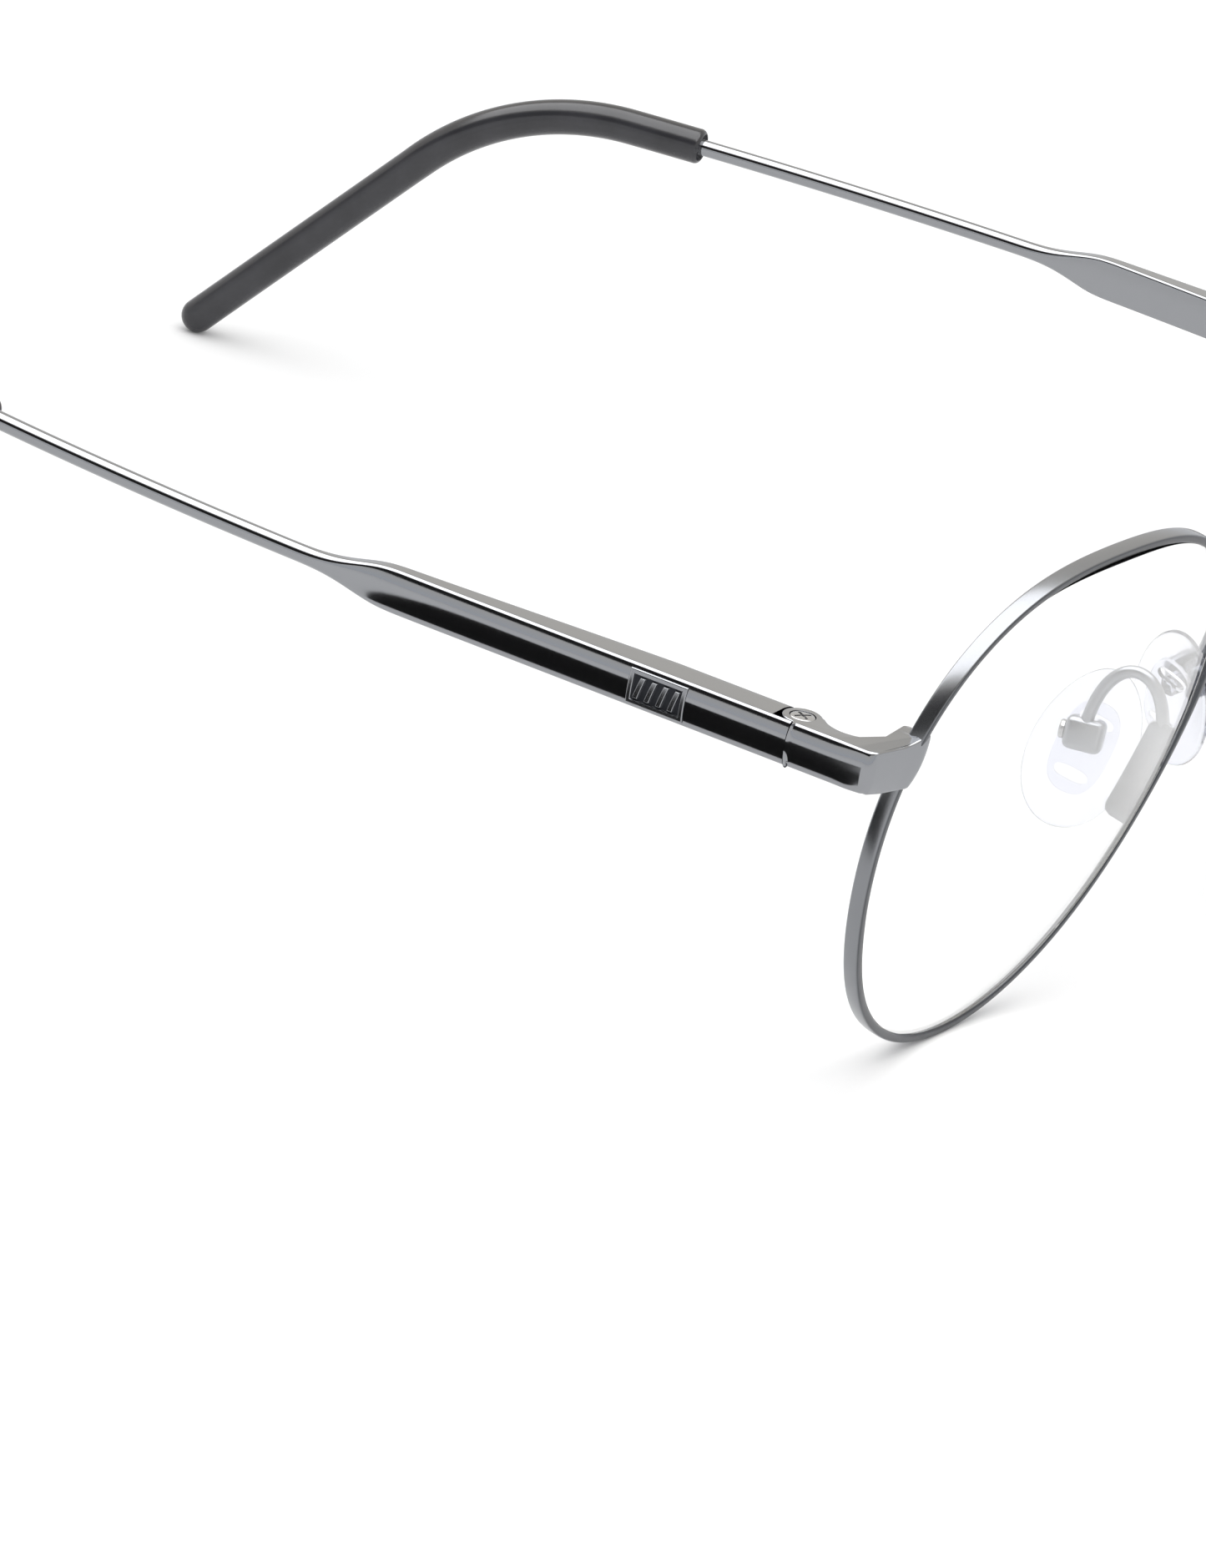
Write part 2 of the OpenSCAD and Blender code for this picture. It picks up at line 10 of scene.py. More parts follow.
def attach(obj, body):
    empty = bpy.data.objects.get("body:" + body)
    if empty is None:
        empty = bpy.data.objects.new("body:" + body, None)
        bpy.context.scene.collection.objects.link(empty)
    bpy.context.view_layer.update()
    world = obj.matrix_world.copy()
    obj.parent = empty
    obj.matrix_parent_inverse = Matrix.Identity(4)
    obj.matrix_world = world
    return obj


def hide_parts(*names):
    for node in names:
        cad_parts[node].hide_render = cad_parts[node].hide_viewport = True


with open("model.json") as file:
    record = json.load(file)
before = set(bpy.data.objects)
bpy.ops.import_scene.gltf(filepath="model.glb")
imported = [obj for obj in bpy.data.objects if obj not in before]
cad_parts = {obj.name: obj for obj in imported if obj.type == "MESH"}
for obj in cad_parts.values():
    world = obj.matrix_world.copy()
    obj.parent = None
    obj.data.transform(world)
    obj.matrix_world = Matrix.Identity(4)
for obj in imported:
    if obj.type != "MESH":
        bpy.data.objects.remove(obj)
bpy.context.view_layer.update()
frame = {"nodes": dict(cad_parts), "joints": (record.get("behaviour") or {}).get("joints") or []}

bl_info = {
    "name": "Round Wire Eyeglasses",
    "version": (1, 0, 0),
    "blender": (4, 5, 0),
    "location": "View3D > Sidebar > Eyeglasses",
    "description": "Builds the surfaces, finishes and studio of a pair of round wire eyeglasses",
    "category": "Object",
}

MM = 0.001
SIDES = ("right", "left")
JOINTS = {joint["name"]: joint for joint in frame["joints"]}

# Places that the frame gives, in millimetres. Everything is drawn for the wearer's left, and mirrored.
HINGE = np.array(JOINTS["left_temple_fold"]["pos_m"]) / MM
PAD_PIVOT = np.array(JOINTS["left_pad_rock"]["pos_m"]) / MM
PAD_AXIS = np.array(JOINTS["left_pad_rock"]["axis"])

# Fixed sizes that more than one piece uses, in millimetres.
CORNER_R = 1.0
SCREW_R, SCREW_HEAD_R = 0.55, 1.03
PLATE_CROWN_R = 7.0
UP = np.array([0, 0, 1.0])

# Where the pad arm meets the rim: angles on the lens's outline, from its outer side over the top.
FOOT_TOP, FOOT_WIRE, FOOT_END = 183.75, 185.625, 206.25


# ---------------------------------------------------------------- sizes and colours

def size(name, description, default, low, high):
    """A length in millimetres that a user can change."""
    return FloatProperty(name=name, description=description, default=default, min=low, max=high, precision=3)


def angle(name, description, default):
    """An angle in degrees that a user can change."""
    return FloatProperty(name=name, description=description, default=default, min=-90, max=90, precision=2)


def colour(name, description, default):
    """A linear colour that a user can change."""
    return FloatVectorProperty(
        name=name, description=description, default=default, size=3, min=0, max=1, subtype="COLOR")


class FrontSizes(bpy.types.PropertyGroup):
    """Sizes of the rims, lenses, bridge and end pieces, in millimetres and degrees"""
    lens_w: size("Lens width", "Width of a lens over its bevel", 48, 42, 58)
    lens_h: size("Lens height", "Height of a lens over its bevel", 44.5, 37, 54)
    panto: size("Panto", "Three-lobed wave on the outline", 0.049, 0, 0.06)
    square: size("Squareness", "Four-lobed wave on the outline", 0.016, 0, 0.02)
    lens_t: size("Lens thickness", "Thickness of a lens", 1.0, 0.8, 2)
    lens_r: size("Lens curve", "Radius of a lens's middle surface", 130, 90, 200)
    bevel: size("Bevel height", "Height of the lens's bevel", 0.35, 0.2, 0.4)
    lens_gap: size("Lens gap", "Distance between the lenses", 21, 17, 26)
    rim_t: size("Rim thickness", "Thickness of a rim seen from the front", 0.75, 0.7, 1)
    rim_d: size("Rim depth", "Depth of a rim, front to back", 1.42, 1.2, 1.8)
    rim_round: size("Rim edge", "Rounding of a rim's edges", 0.2, 0.05, 0.3)
    tilt: angle("Front tilt", "Forward lean of the top of the front", 9.2)
    wrap: angle("Front wrap", "Backward turn of each outer side", 4)
    bridge_r: size("Bridge radius", "Radius of the bridge's arch", 13, 12, 20)
    bridge_rise: size("Bridge rise", "Height of the bridge's ends above the lens centres", 6.5, 3, 9)
    bridge_d: size("Bridge thickness", "Thickness of the bridge's wire", 1.6, 1.2, 2.2)
    hinge_back: size("Hinge back", "Distance of the hinge behind the lens centres", 8.3, 8, 11)
    hinge_inset: size("Hinge inset", "Distance of the hinge in from the outer face", 2.35, 2.2, 2.8)
    temple_rise: size("Temple rise", "Height of the temples above the lens centres", 7.6, 4, 10)
    blade_h: size("Blade height", "Height of the end piece and the blade", 3.66, 3.2, 4.6)
    barrel_r: size("Barrel radius", "Radius of the hinge barrel", 1.65, 1.5, 1.9)
    crown_r: size("Crown radius", "Radius of the outer face's crown, seen from behind", 4.2, 2.5, 12)
    edge_r: size("Edge radius", "Rounding of the upper and lower edges", 0.4, 0.1, 0.6)
    lug_slant: size("Lug slant", "How much shorter the lug is at its lower edge", 1.6, 0, 2.5)
    lug_cap: size("Lug cap", "How far the lug's cap rises over the rim", 0.55, 0, 1)


class TempleSizes(bpy.types.PropertyGroup):
    """Sizes of the temples and their tips, in millimetres and degrees"""
    blade_t: size("Blade thickness", "Thickness of the blade at the hinge", 3.5, 3, 4)
    taper_start: size("Taper start", "Where the inner face starts to taper", 20, 16, 26)
    neck_start: size("Neck start", "Where the blade starts to neck down", 43.5, 40, 52)
    neck_len: size("Neck length", "Length of the neck", 11, 8, 14)
    wire_d: size("Wire", "Diameter of the temple's wire", 1.5, 1.2, 1.8)
    bow_start: size("Bow start", "Where the temple starts to bow inwards", 40, 36, 60)
    bow_r: size("Bow radius", "Radius of the inward bow", 280, 230, 400)
    ear_start: size("Ear start", "Where the ear bend starts", 92, 80, 110)
    ear_r: size("Ear radius", "Radius of the ear bend", 26, 20, 32)
    ear_angle: angle("Ear angle", "Angle of the ear bend", 48)
    sleeve_lead: size("Sleeve lead", "Length of the sleeve ahead of the bend", 7, 4, 14)
    sleeve_d: size("Sleeve", "Diameter of the tip's sleeve", 3.3, 2.8, 4.2)
    badge_l: size("Badge length", "Length of the plate on the blade", 5.1, 4, 6)
    badge_h: size("Badge height", "Height of the plate on the blade", 2.9, 2.2, 3.1)
    badge_border: size("Badge border", "Width of the plate's raised border", 0.36, 0.2, 0.5)
    badge_back: size("Badge place", "Distance of the plate behind the hinge", 11.5, 9, 16)


class PadSizes(bpy.types.PropertyGroup):
    """Sizes of the nose pads, their boxes and arms, in millimetres and degrees"""
    length: size("Pad length", "Length of a nose pad", 14, 12, 16)
    width: size("Pad width", "Width of a nose pad", 8.6, 7, 10)
    thick: size("Pad thickness", "Thickness of a nose pad at its middle", 1.7, 1.5, 2.2)
    frontal: angle("Frontal angle", "Turn that brings the pads' lower ends apart", 16)
    stand: size("Stand-off", "Distance from the pad screw to the pad", 2, 1.5, 3)
    lean: angle("Lean", "Turn that brings each pad's lower end back", 13)
    low: size("Pad drop", "Drop of the pad's middle below its screw", 1.3, 0, 3)
    box: size("Box side", "Side of the pad box", 3, 2, 4)
    arm_d: size("Arm", "Diameter of the pad arm's wire", 1.05, 0.9, 1.2)
    arm_loop: size("Arm loop", "Height of the arm's loop above the pad screw", 6.6, 6, 8)
    foot_back: size("Foot back", "Reach of the foot behind the lens's middle plane", 3, 1.5, 3.5)
    foot_t: size("Foot thickness", "Thickness of the foot soldered to the rim", 0.8, 0.5, 1)


class Finishes(bpy.types.PropertyGroup):
    """Colours of the metals, plastics and studio"""
    polished: colour("Polished gunmetal", "Blades, end pieces and bridge", (0.30, 0.307, 0.322))
    satin: colour("Satin gunmetal", "Rims and rim locks", (0.245, 0.252, 0.266))
    arm: colour("Arm plating", "Arms and boxes of the nose pads", (0.27, 0.28, 0.3))
    # Painted shade: this darker colour is painted on the rims' front and inner faces.
    shade: colour("Rim shade", "Front and inner faces of the rims", (0.075, 0.078, 0.085))
    steel: colour("Screw steel", "Screws and hinge knuckles", (0.42, 0.42, 0.425))
    oxide: colour("Oxidised metal", "Sunk panel of the plate", (0.045, 0.048, 0.055))
    tip: colour("Tip acetate", "Sleeves on the temples", (0.012, 0.012, 0.014))
    floor: colour("Floor", "The studio's floor", (0.93, 0.93, 0.93))


# ---------------------------------------------------------------- surface tools

def grid_faces(rows, cols, ring=False):
    """Quads between neighbouring rows and columns of a grid; a ring's last column joins its first."""
    i = np.arange(rows - 1)[:, None]
    j = np.arange(cols if ring else cols - 1)[None, :]
    j2 = (j + 1) % cols
    corners = [i * cols + j, i * cols + j2, (i + 1) * cols + j2, (i + 1) * cols + j]
    return np.stack(np.broadcast_arrays(*corners), -1).reshape(-1, 4)


class Shell:
    """A closed surface: a grid of rings with its quads, and a flat polygon over each open end."""

    def __init__(self, grid, caps=True, quads=None):
        rows, cols = grid.shape[:2]
        self.points = grid.reshape(-1, 3)
        self.quads = grid_faces(rows, cols, ring=True) if quads is None else quads
        self.ends = []
        if caps and quads is None:
            self.ends = [np.arange(cols)[::-1], np.arange((rows - 1) * cols, rows * cols)]

    def volume(self):
        """The signed volume: over each face's fan of triangles, a sixth of the first corner's dot
        product with the cross product of the other two."""
        total = 0.0
        for faces in (self.quads, *(end[None] for end in self.ends)):
            p = self.points[faces]
            total += (p[:, :1] * np.cross(p[:, 1:-1], p[:, 2:])).sum()
        return total / 6

    def outward(self, start):
        """The faces, counted from start, and turned over if they look inwards."""
        way = 1 if self.volume() > 0 else -1
        return (self.quads + start)[:, ::way].tolist() + [(end + start)[::way].tolist() for end in self.ends]


def merged(shells):
    """Points and outward faces of several closed shells put together."""
    faces, start = [], 0
    for shell in shells:
        faces += shell.outward(start)
        start += len(shell.points)
    return np.concatenate([shell.points for shell in shells]), faces


def new_mesh(name, points, faces, crease=35):
    """A mesh object at the origin from points in millimetres; edges over crease degrees stay sharp."""
    mesh = bpy.data.meshes.new(name)
    mesh.from_pydata((points * MM).tolist(), [], faces)
    mesh.validate()
    welded(mesh)
    smooth(mesh, crease)
    piece = bpy.data.objects.new(name, mesh)
    bpy.context.scene.collection.objects.link(piece)
    return piece


def welded(mesh, gap=1e-7):
    """Merges points that fall on each other, such as those at a pole."""
    work = bmesh.new()
    work.from_mesh(mesh)
    bmesh.ops.remove_doubles(work, verts=work.verts, dist=gap)
    bmesh.ops.dissolve_degenerate(work, edges=work.edges, dist=gap)
    work.to_mesh(mesh)
    work.free()


def smooth(mesh, crease):
    """Smooth shading, with edges over crease degrees kept sharp."""
    mesh.shade_smooth()
    mesh.set_sharp_from_angle(angle=np.radians(crease))


def carve(piece, shells, crease):
    """Cuts each shell out of a piece and keeps the result as its mesh."""
    cutters = [new_mesh("cutter", *merged([shell])) for shell in shells]
    for cutter in cutters:
        cut = piece.modifiers.new("cut", "BOOLEAN")
        cut.operation = "DIFFERENCE"
        cut.solver = "EXACT"
        cut.object = cutter
    depsgraph = bpy.context.evaluated_depsgraph_get()
    result = bpy.data.meshes.new_from_object(piece.evaluated_get(depsgraph))
    piece.modifiers.clear()
    piece.data = result
    smooth(result, crease)
    for cutter in cutters:
        bpy.data.objects.remove(cutter)


def finish_piece(piece, node, body, material):
    """Puts a piece on its body in place of its CAD node, with its finish."""
    piece.data.materials.clear()
    piece.data.materials.append(material)
    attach(piece, body)
    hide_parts(node)


def rotation(axis, degrees):
    """A 3 x 3 turn about X, Y or Z."""
    return np.array(Matrix.Rotation(np.radians(degrees), 3, axis))


def arc(centre, r, start, stop, count):
    """Points on an arc in a plane, from start to stop degrees."""
    a = np.radians(np.linspace(start, stop, count))
    return np.asarray(centre) + r * np.stack([np.cos(a), np.sin(a)], -1)


def ease(s):
    """0 to 1 along a cosine."""
    return (1 - np.cos(np.pi * np.clip(s, 0, 1))) / 2


def sweep(path, across, up, section):
    """Carries a section along a path: each point is the path's, plus u along across and v along up.
    The section is one loop of (u, v) pairs, or one loop for each point of the path."""
    loop = np.broadcast_to(section, (len(path),) + section.shape[-2:])
    return path[:, None] + loop[..., :1] * across[:, None] + loop[..., 1:] * up[:, None]


def rounded_loop(u0, u1, v0, v1, r, steps=6):
    """A rectangle with round corners, with a point close to each end of its straight sides."""
    corners = [((u1 - r, v1 - r), 0), ((u0 + r, v1 - r), 90),
               ((u0 + r, v0 + r), 180), ((u1 - r, v0 + r), 270)]
    return np.concatenate([arc(c, r, a, a + 90, steps) for c, a in corners])


def circle_loop(r, steps=40):
    """A circle of radius r."""
    return arc((0, 0), r, 0, 360 - 360 / steps, steps)


# ---------------------------------------------------------------- the front's own axes

class Front:
    """Places on the front, worked out from its sizes; x runs outwards, on the wearer's left."""

    def __init__(self, sizes):
        self.s = sizes
        self.origin = np.array([0, HINGE[1] - sizes.hinge_back, HINGE[2] - sizes.temple_rise])
        self.eye_x = (sizes.lens_gap + sizes.lens_w) / 2
        self.outer_x = HINGE[0] + sizes.hinge_inset
        self.rim_in = -sizes.bevel
        self.rim_out = sizes.rim_t - sizes.bevel
        turns = np.linspace(0, 2 * np.pi, 96, endpoint=False)
        wave = self.wave(turns)
        self.stretch_x = sizes.lens_w / 2 / (np.cos(turns) * wave).max()
        self.stretch_z = sizes.lens_h / np.ptp(np.sin(turns) * wave)
        self.turn = rotation("Z", sizes.wrap) @ rotation("X", sizes.tilt)

    def wave(self, t):
        """The outline's radius: 1, plus a three-lobed and less a four-lobed wave."""
        return 1 + self.s.panto * np.sin(3 * t) - self.s.square * np.cos(4 * t)

    def outline(self, t, grow=0.0):
        """Points on the lens's outline at angles t, moved outwards by grow along the radius."""
        wave = self.wave(t)
        return np.stack([np.cos(t) * (self.stretch_x * wave + grow),
                         np.sin(t) * (self.stretch_z * wave + grow)], -1)

    def normal(self, t):
        """Unit normals of the outline at angles t."""
        d = (self.outline(t + 1e-4) - self.outline(t - 1e-4)) / 2e-4
        return np.stack([d[..., 1], -d[..., 0]], -1) / np.linalg.norm(d, axis=-1, keepdims=True)

    def from_lens(self, x, y, z):
        """Points given across, through and up the lens's plane, in the shared frame."""
        local = np.stack(np.broadcast_arrays(x, y, z), -1)
        return local @ self.turn.T + self.origin + np.array([self.eye_x, 0, 0])

    def angle_at(self, height):
        """The outline's angle on the outer side at that height above the lens's centre."""
        t = np.linspace(0, np.pi / 3, 400)
        return float(np.interp(height, self.outline(t)[:, 1], t))


def front():
    """The front of the scene's eyeglasses."""
    return Front(bpy.context.scene.glasses_front)


# ---------------------------------------------------------------- rims, lenses and bridge

def rim_shell(f):
    """A loop with a groove on its inner side, carried round the lens's outline from one side of
    the slit behind the end piece to the other."""
    s = f.s
    half_slit = 0.1 / s.lens_w * 2
    start = f.angle_at(s.temple_rise)
    t = np.linspace(start + half_slit, start + 2 * np.pi - half_slit, 420)
    d, r = s.rim_d / 2, s.rim_round
    across = np.linspace(r - d, d - r, 9)
    flank = np.column_stack([f.rim_out + 0.03 * (1 - (across / (d - r)) ** 2), across])
    loop = np.concatenate([
        arc((f.rim_in + r, r - d), r, 180, 270, 6),
        arc((f.rim_out - r, r - d), r, 270, 360, 6), flank,
        arc((f.rim_out - r, d - r), r, 0, 90, 6),
        arc((f.rim_in + r, d - r), r, 90, 180, 6),
        [(f.rim_in, 0.28), (0.02, 0.27), (0.02, -0.27), (f.rim_in, -0.28)]])
    base, out = f.outline(t), f.normal(t)
    x = base[:, None, 0] + loop[None, :, 0] * out[:, None, 0]
    z = base[:, None, 1] + loop[None, :, 0] * out[:, None, 1]
    return Shell(f.from_lens(x, loop[None, :, 1], z))


def lens_shell(f):
    """A shell between two spheres, from the middle of its front to the middle of its back: the
    outline shrinks to the middle, and the depth is the sphere's at that distance. Its edge
    carries a bevel."""
    s = f.s
    t = np.linspace(0, 2 * np.pi, 240, endpoint=False)
    edge_r = (s.lens_w + s.lens_h) / 4
    centre = np.sqrt(s.lens_r ** 2 - edge_r ** 2)
    edge = f.outline(t, f.rim_in - 0.02)
    share = np.sin(np.linspace(0, np.pi / 2, 26))
    rows = []
    for r, shares in ((s.lens_r + s.lens_t / 2, share), (s.lens_r - s.lens_t / 2, share[::-1])):
        p = edge[None] * shares[:, None, None]
        y = centre - np.sqrt(r ** 2 - (p ** 2).sum(-1))
        rows.append(np.stack([p[..., 0], y, p[..., 1]], -1))
    tip = f.outline(t, -0.02)
    bevel = [np.stack([ring[:, 0], np.full(len(t), y), ring[:, 1]], -1)
             for ring, y in ((edge, -0.26), (tip, -0.2), (tip, 0.2), (edge, 0.26))]
    grid = np.concatenate([rows[0], np.stack(bevel), rows[1]])
    return Shell(f.from_lens(grid[..., 0], grid[..., 1], grid[..., 2]), caps=False)


def bridge_shell(f):
    """A flattened round section carried along an arch between the rims; it thickens into a fillet
    at each end."""
    s = f.s
    half = s.lens_gap / 2 - f.rim_out + 0.2
    arch_z = s.bridge_rise - np.sqrt(s.bridge_r ** 2 - half ** 2)
    lead = (f.eye_x - half) * np.sin(np.radians(s.wrap))
    reach = np.arcsin((half + 0.25) / s.bridge_r)
    a = np.linspace(-reach, reach, 90)
    tilt = rotation("X", s.tilt)
    flat = np.stack([s.bridge_r * np.sin(a), np.full_like(a, -lead), arch_z + s.bridge_r * np.cos(a)], -1)
    path = flat @ tilt.T + f.origin
    out = np.stack([np.sin(a), np.zeros_like(a), np.cos(a)], -1) @ tilt.T
    back = np.broadcast_to(tilt @ np.array([0, 1, 0]), out.shape)
    loop = circle_loop(s.bridge_d / 2, 36) * [0.86, 1.0]
    near_end = np.clip(1 - (reach - np.abs(a)) / 0.12, 0, 1) ** 2
    return Shell(sweep(path, out, back, loop[None] * (1 + 0.16 * near_end)[:, None, None]))


# ---------------------------------------------------------------- end pieces

def front_corner(s):
    """The centre of the end piece's round front corner, from the hinge axis."""
    return np.array([s.hinge_inset - CORNER_R, -s.hinge_back + 0.55 + CORNER_R])


def endpiece_plan(f):
    """The end piece seen from above, with the hinge axis at the origin: outer face, round corner,
    sloping front, lug, concave waist and barrel. Gives the points and how much of the crown each
    has."""
    s = f.s
    out, slope = s.hinge_inset, 14.5
    lean, fall = np.cos(np.radians(slope)), np.tan(np.radians(slope))
    corner = front_corner(s)
    end_x = f.eye_x + s.lens_w / 2 - HINGE[0] - 1.75
    front_y = corner[1] - CORNER_R * lean - (corner[0] - end_x) * fall
    back_y = -s.hinge_back + 1.75
    face_x = np.linspace(corner[0] - 0.3, end_x + 0.6, 14)
    face_y = corner[1] - CORNER_R / lean + (face_x - corner[0]) * fall
    waist_r = 2.7
    waist = (0.1 - waist_r, (back_y - s.barrel_r) / 2 + 0.45)
    parts = [
        (np.linspace([out, -0.05], [out, corner[1] + 0.02], 24), 1),
        (arc(corner, CORNER_R, 0, slope - 90, 18), 1),
        (np.column_stack([face_x, face_y]), 1),
        (arc((end_x + 0.3, front_y + 0.35), 0.3, 270 - slope, 185, 10), 1),
        (arc((end_x + 0.5, back_y - 0.5), 0.5, 175, 100, 10), 0.2),
        (arc(waist, waist_r, -72, 50, 26), 0),
        (arc((0, 0), s.barrel_r, 233, 0, 44), 0),
    ]
    plan = np.concatenate([points for points, _ in parts])
    crown = np.concatenate([np.full(len(points), share, float) for points, share in parts])
    return plan, crown


def plan_normals(plan):
    """Outward unit normals of a closed plan, from each point's two neighbours."""
    d = np.roll(plan, -1, 0) - np.roll(plan, 1, 0)
    n = np.stack([d[:, 1], -d[:, 0]], -1) / np.linalg.norm(d, axis=1, keepdims=True)
    area = (plan[:, 0] * np.roll(plan[:, 1], -1) - np.roll(plan[:, 0], -1) * plan[:, 1]).sum()
    return n if area > 0 else -n


def crown_turns(half_h, crown_r, edge_r, steps=12):
    """The turns of a crowned face's normal from its lower to its upper edge, in degrees, and the
    turn at which the crown ends."""
    end = np.degrees(np.arcsin((half_h - edge_r) / (crown_r - edge_r)))
    turns = np.concatenate([np.linspace(-90, -end, steps), np.linspace(-end, end, 2 * steps + 1)[1:-1],
                            np.linspace(end, 90, steps)])
    return turns, end


def crown_profile(half_h, crown_r, edge_r):
    """Inset and height from the lower to the upper edge: a quarter round, a crown of crown_r and
    another quarter round. Gives (inset, z) pairs."""
    turns, end = crown_turns(half_h, crown_r, edge_r)
    on_edge = np.abs(turns) >= end - 1e-6
    a = np.radians(turns)
    middle = (crown_r - edge_r) * np.sin(np.radians(end)) * np.sign(turns)
    z = np.where(on_edge, middle + edge_r * np.sin(a), crown_r * np.sin(a))
    depth = np.where(on_edge, (crown_r - edge_r) * np.cos(np.radians(end)) + edge_r * np.cos(a),
                     crown_r * np.cos(a))
    return np.stack([crown_r - depth, z], -1)


def endpiece_shell(f):
    """The plan carried up from the lower to the upper edge. Each level is the plan moved in by the
    profile's inset, crowned outside and nearly flat inside; the crown fades before the front
    corner, where the lower edge is rounder. The lug shortens towards its lower edge along a hollow
    line, and its cap rises over the rim."""
    s = f.s
    plan, crown = endpiece_plan(f)
    normal = plan_normals(plan)
    half = s.blade_h / 2
    corner = front_corner(s)
    flank = 0.8 + 0.2 * ease((plan[:, 1] - corner[1]) / 3)
    share = crown * flank * ease((normal[:, 0] - 0.1) / 0.85)
    round_in = crown_profile(half, s.crown_r, s.edge_r)
    front_in = crown_profile(half, 14.0, 0.16)
    flat_in = crown_profile(half, 60.0, 0.14)
    weights = np.stack([share, crown * (1 - share), 1 - crown])
    profiles = np.stack([round_in, front_in, flat_in])
    inset, z = np.einsum("wp,wlk->klp", weights, profiles)
    near_corner = np.exp(-((plan - corner - [0.4, -0.6]) ** 2).sum(1) / 1.2)
    inset = inset + 0.4 * (crown * near_corner)[None] * np.clip(-z / half, 0, 1) ** 3
    xy = plan[None] - inset[..., None] * normal[None]
    x, y = xy[..., 0], xy[..., 1]
    along = ease((-x - 1.0) / 3.2)
    fall = np.clip((half - z) / (2 * half), 0, 1)
    x = x + s.lug_slant * along * fall ** 1.3
    y = y + 0.35 * along * fall ** 2
    cap = np.clip((-x - 1.2) / 2.6, 0, 1) ** 1.6
    z = z + s.lug_cap * cap * np.clip((z + half) / (2 * half), 0, 1) ** 2
    return Shell(np.stack([x, y, z], -1) + HINGE)


def prism(plan, low, high):
    """A closed prism over a plan around the hinge axis, between two heights."""
    rings = [np.column_stack([plan, np.full(len(plan), z)]) for z in (low, high)]
    return Shell(np.stack(rings) + HINGE)


def rim_cutters(f):
    """What the rim and the lens take from the lug: all inside the rim's outline from the rim's
    front to well behind it, and all inside the lens's opening from a little further forward."""
    t = np.linspace(0, 2 * np.pi, 160, endpoint=False)
    lens_clear_y, behind_y = -1.14, 12.0
    cuts = []
    for grow, front_y in ((f.rim_out, -f.s.rim_d / 2), (f.rim_in, lens_clear_y)):
        ring = f.outline(t, grow)
        cuts.append(Shell(np.stack([f.from_lens(ring[:, 0], y, ring[:, 1]) for y in (front_y, behind_y)])))
    return cuts


def knuckle_levels(f):
    """Half the height of the gap between the two hinge leaves."""
    return f.s.blade_h / 2 - 1.15


# ---------------------------------------------------------------- temples

class TemplePath:
    """The line through the wire: straight from the hinge, bowed inwards along a circle, then bent
    down behind the ear in the upright plane of its heading."""

    def __init__(self, f, sizes):
        self.f, self.s = f, sizes
        self.wire_r = sizes.wire_d / 2
        self.line_x = f.outer_x - self.wire_r - 0.03
        self.bow = np.arcsin((sizes.ear_start - sizes.bow_start) / sizes.bow_r)
        self.ear = np.radians(sizes.ear_angle)
        self.bow_end = sizes.bow_start + sizes.bow_r * self.bow
        self.ear_end = self.bow_end + sizes.ear_r * self.ear
        drop = HINGE[2] - sizes.sleeve_d / 2 + 0.04
        self.length = self.ear_end + (drop - sizes.ear_r * (1 - np.cos(self.ear))) / np.sin(self.ear)

    def at(self, run):
        """Position, outward and upward directions at each run, a length measured along the line
        from the plane of the lenses."""
        s, run = self.s, np.asarray(run, float)
        heading = np.clip((run - s.bow_start) / s.bow_r, 0, self.bow)
        pitch = np.clip((run - self.bow_end) / s.ear_r, 0, self.ear)
        x = self.line_x - s.bow_r * (1 - np.cos(heading))
        y = np.minimum(run, s.bow_start) + s.bow_r * np.sin(heading)
        level = s.ear_r * np.sin(pitch) + np.clip(run - self.ear_end, 0, None) * np.cos(self.ear)
        down = s.ear_r * (1 - np.cos(pitch)) + np.clip(run - self.ear_end, 0, None) * np.sin(self.ear)
        outward = np.stack([np.cos(heading), np.sin(heading), np.zeros_like(run)], -1)
        ahead = np.stack([-np.sin(heading), np.cos(heading), np.zeros_like(run)], -1)
        place = np.stack([x, y + self.f.origin[1], np.full_like(run, HINGE[2])], -1)
        place = place + level[:, None] * ahead - down[:, None] * UP
        up = np.sin(pitch)[:, None] * ahead + np.cos(pitch)[:, None] * UP
        return place, outward, up


def blade_section(outer, inner, half_h, crown_r, edge_r, wire_r, roundness):
    """One loop of (u, v): a crowned outer face, flat top, inner face and bottom with round edges,
    which turns into a circle of wire_r as roundness goes to 1. Points with the same normal are
    paired, so the change is smooth."""
    outside = crown_profile(half_h, crown_r, edge_r)
    turn, _ = crown_turns(half_h, crown_r, edge_r)
    u = outer - outside[:, 0]
    v = outside[:, 1]
    r = min(0.3, half_h * 0.6)
    upper = arc((inner + r, half_h - r), r, 90, 180, 9)
    lower = arc((inner + r, r - half_h), r, 180, 270, 9)
    top_mid = np.linspace([u[-1], half_h], upper[0], 6)[1:-1]
    low_mid = np.linspace(lower[-1], [u[0], -half_h], 6)[1:-1]
    loop = np.concatenate([np.stack([u, v], -1), top_mid, upper, lower, low_mid])
    turns = np.concatenate([turn, np.full(4, 90.0), np.linspace(90, 180, 9), np.linspace(180, 270, 9),
                            np.full(4, 270.0)])
    spread = np.arange(4) * 2.0 - 3
    turns[len(turn):len(turn) + 4] += spread
    turns[-4:] += spread
    a = np.radians(turns)
    ring = wire_r * np.stack([np.cos(a), np.sin(a)], -1)
    return loop * (1 - roundness) + ring * roundness


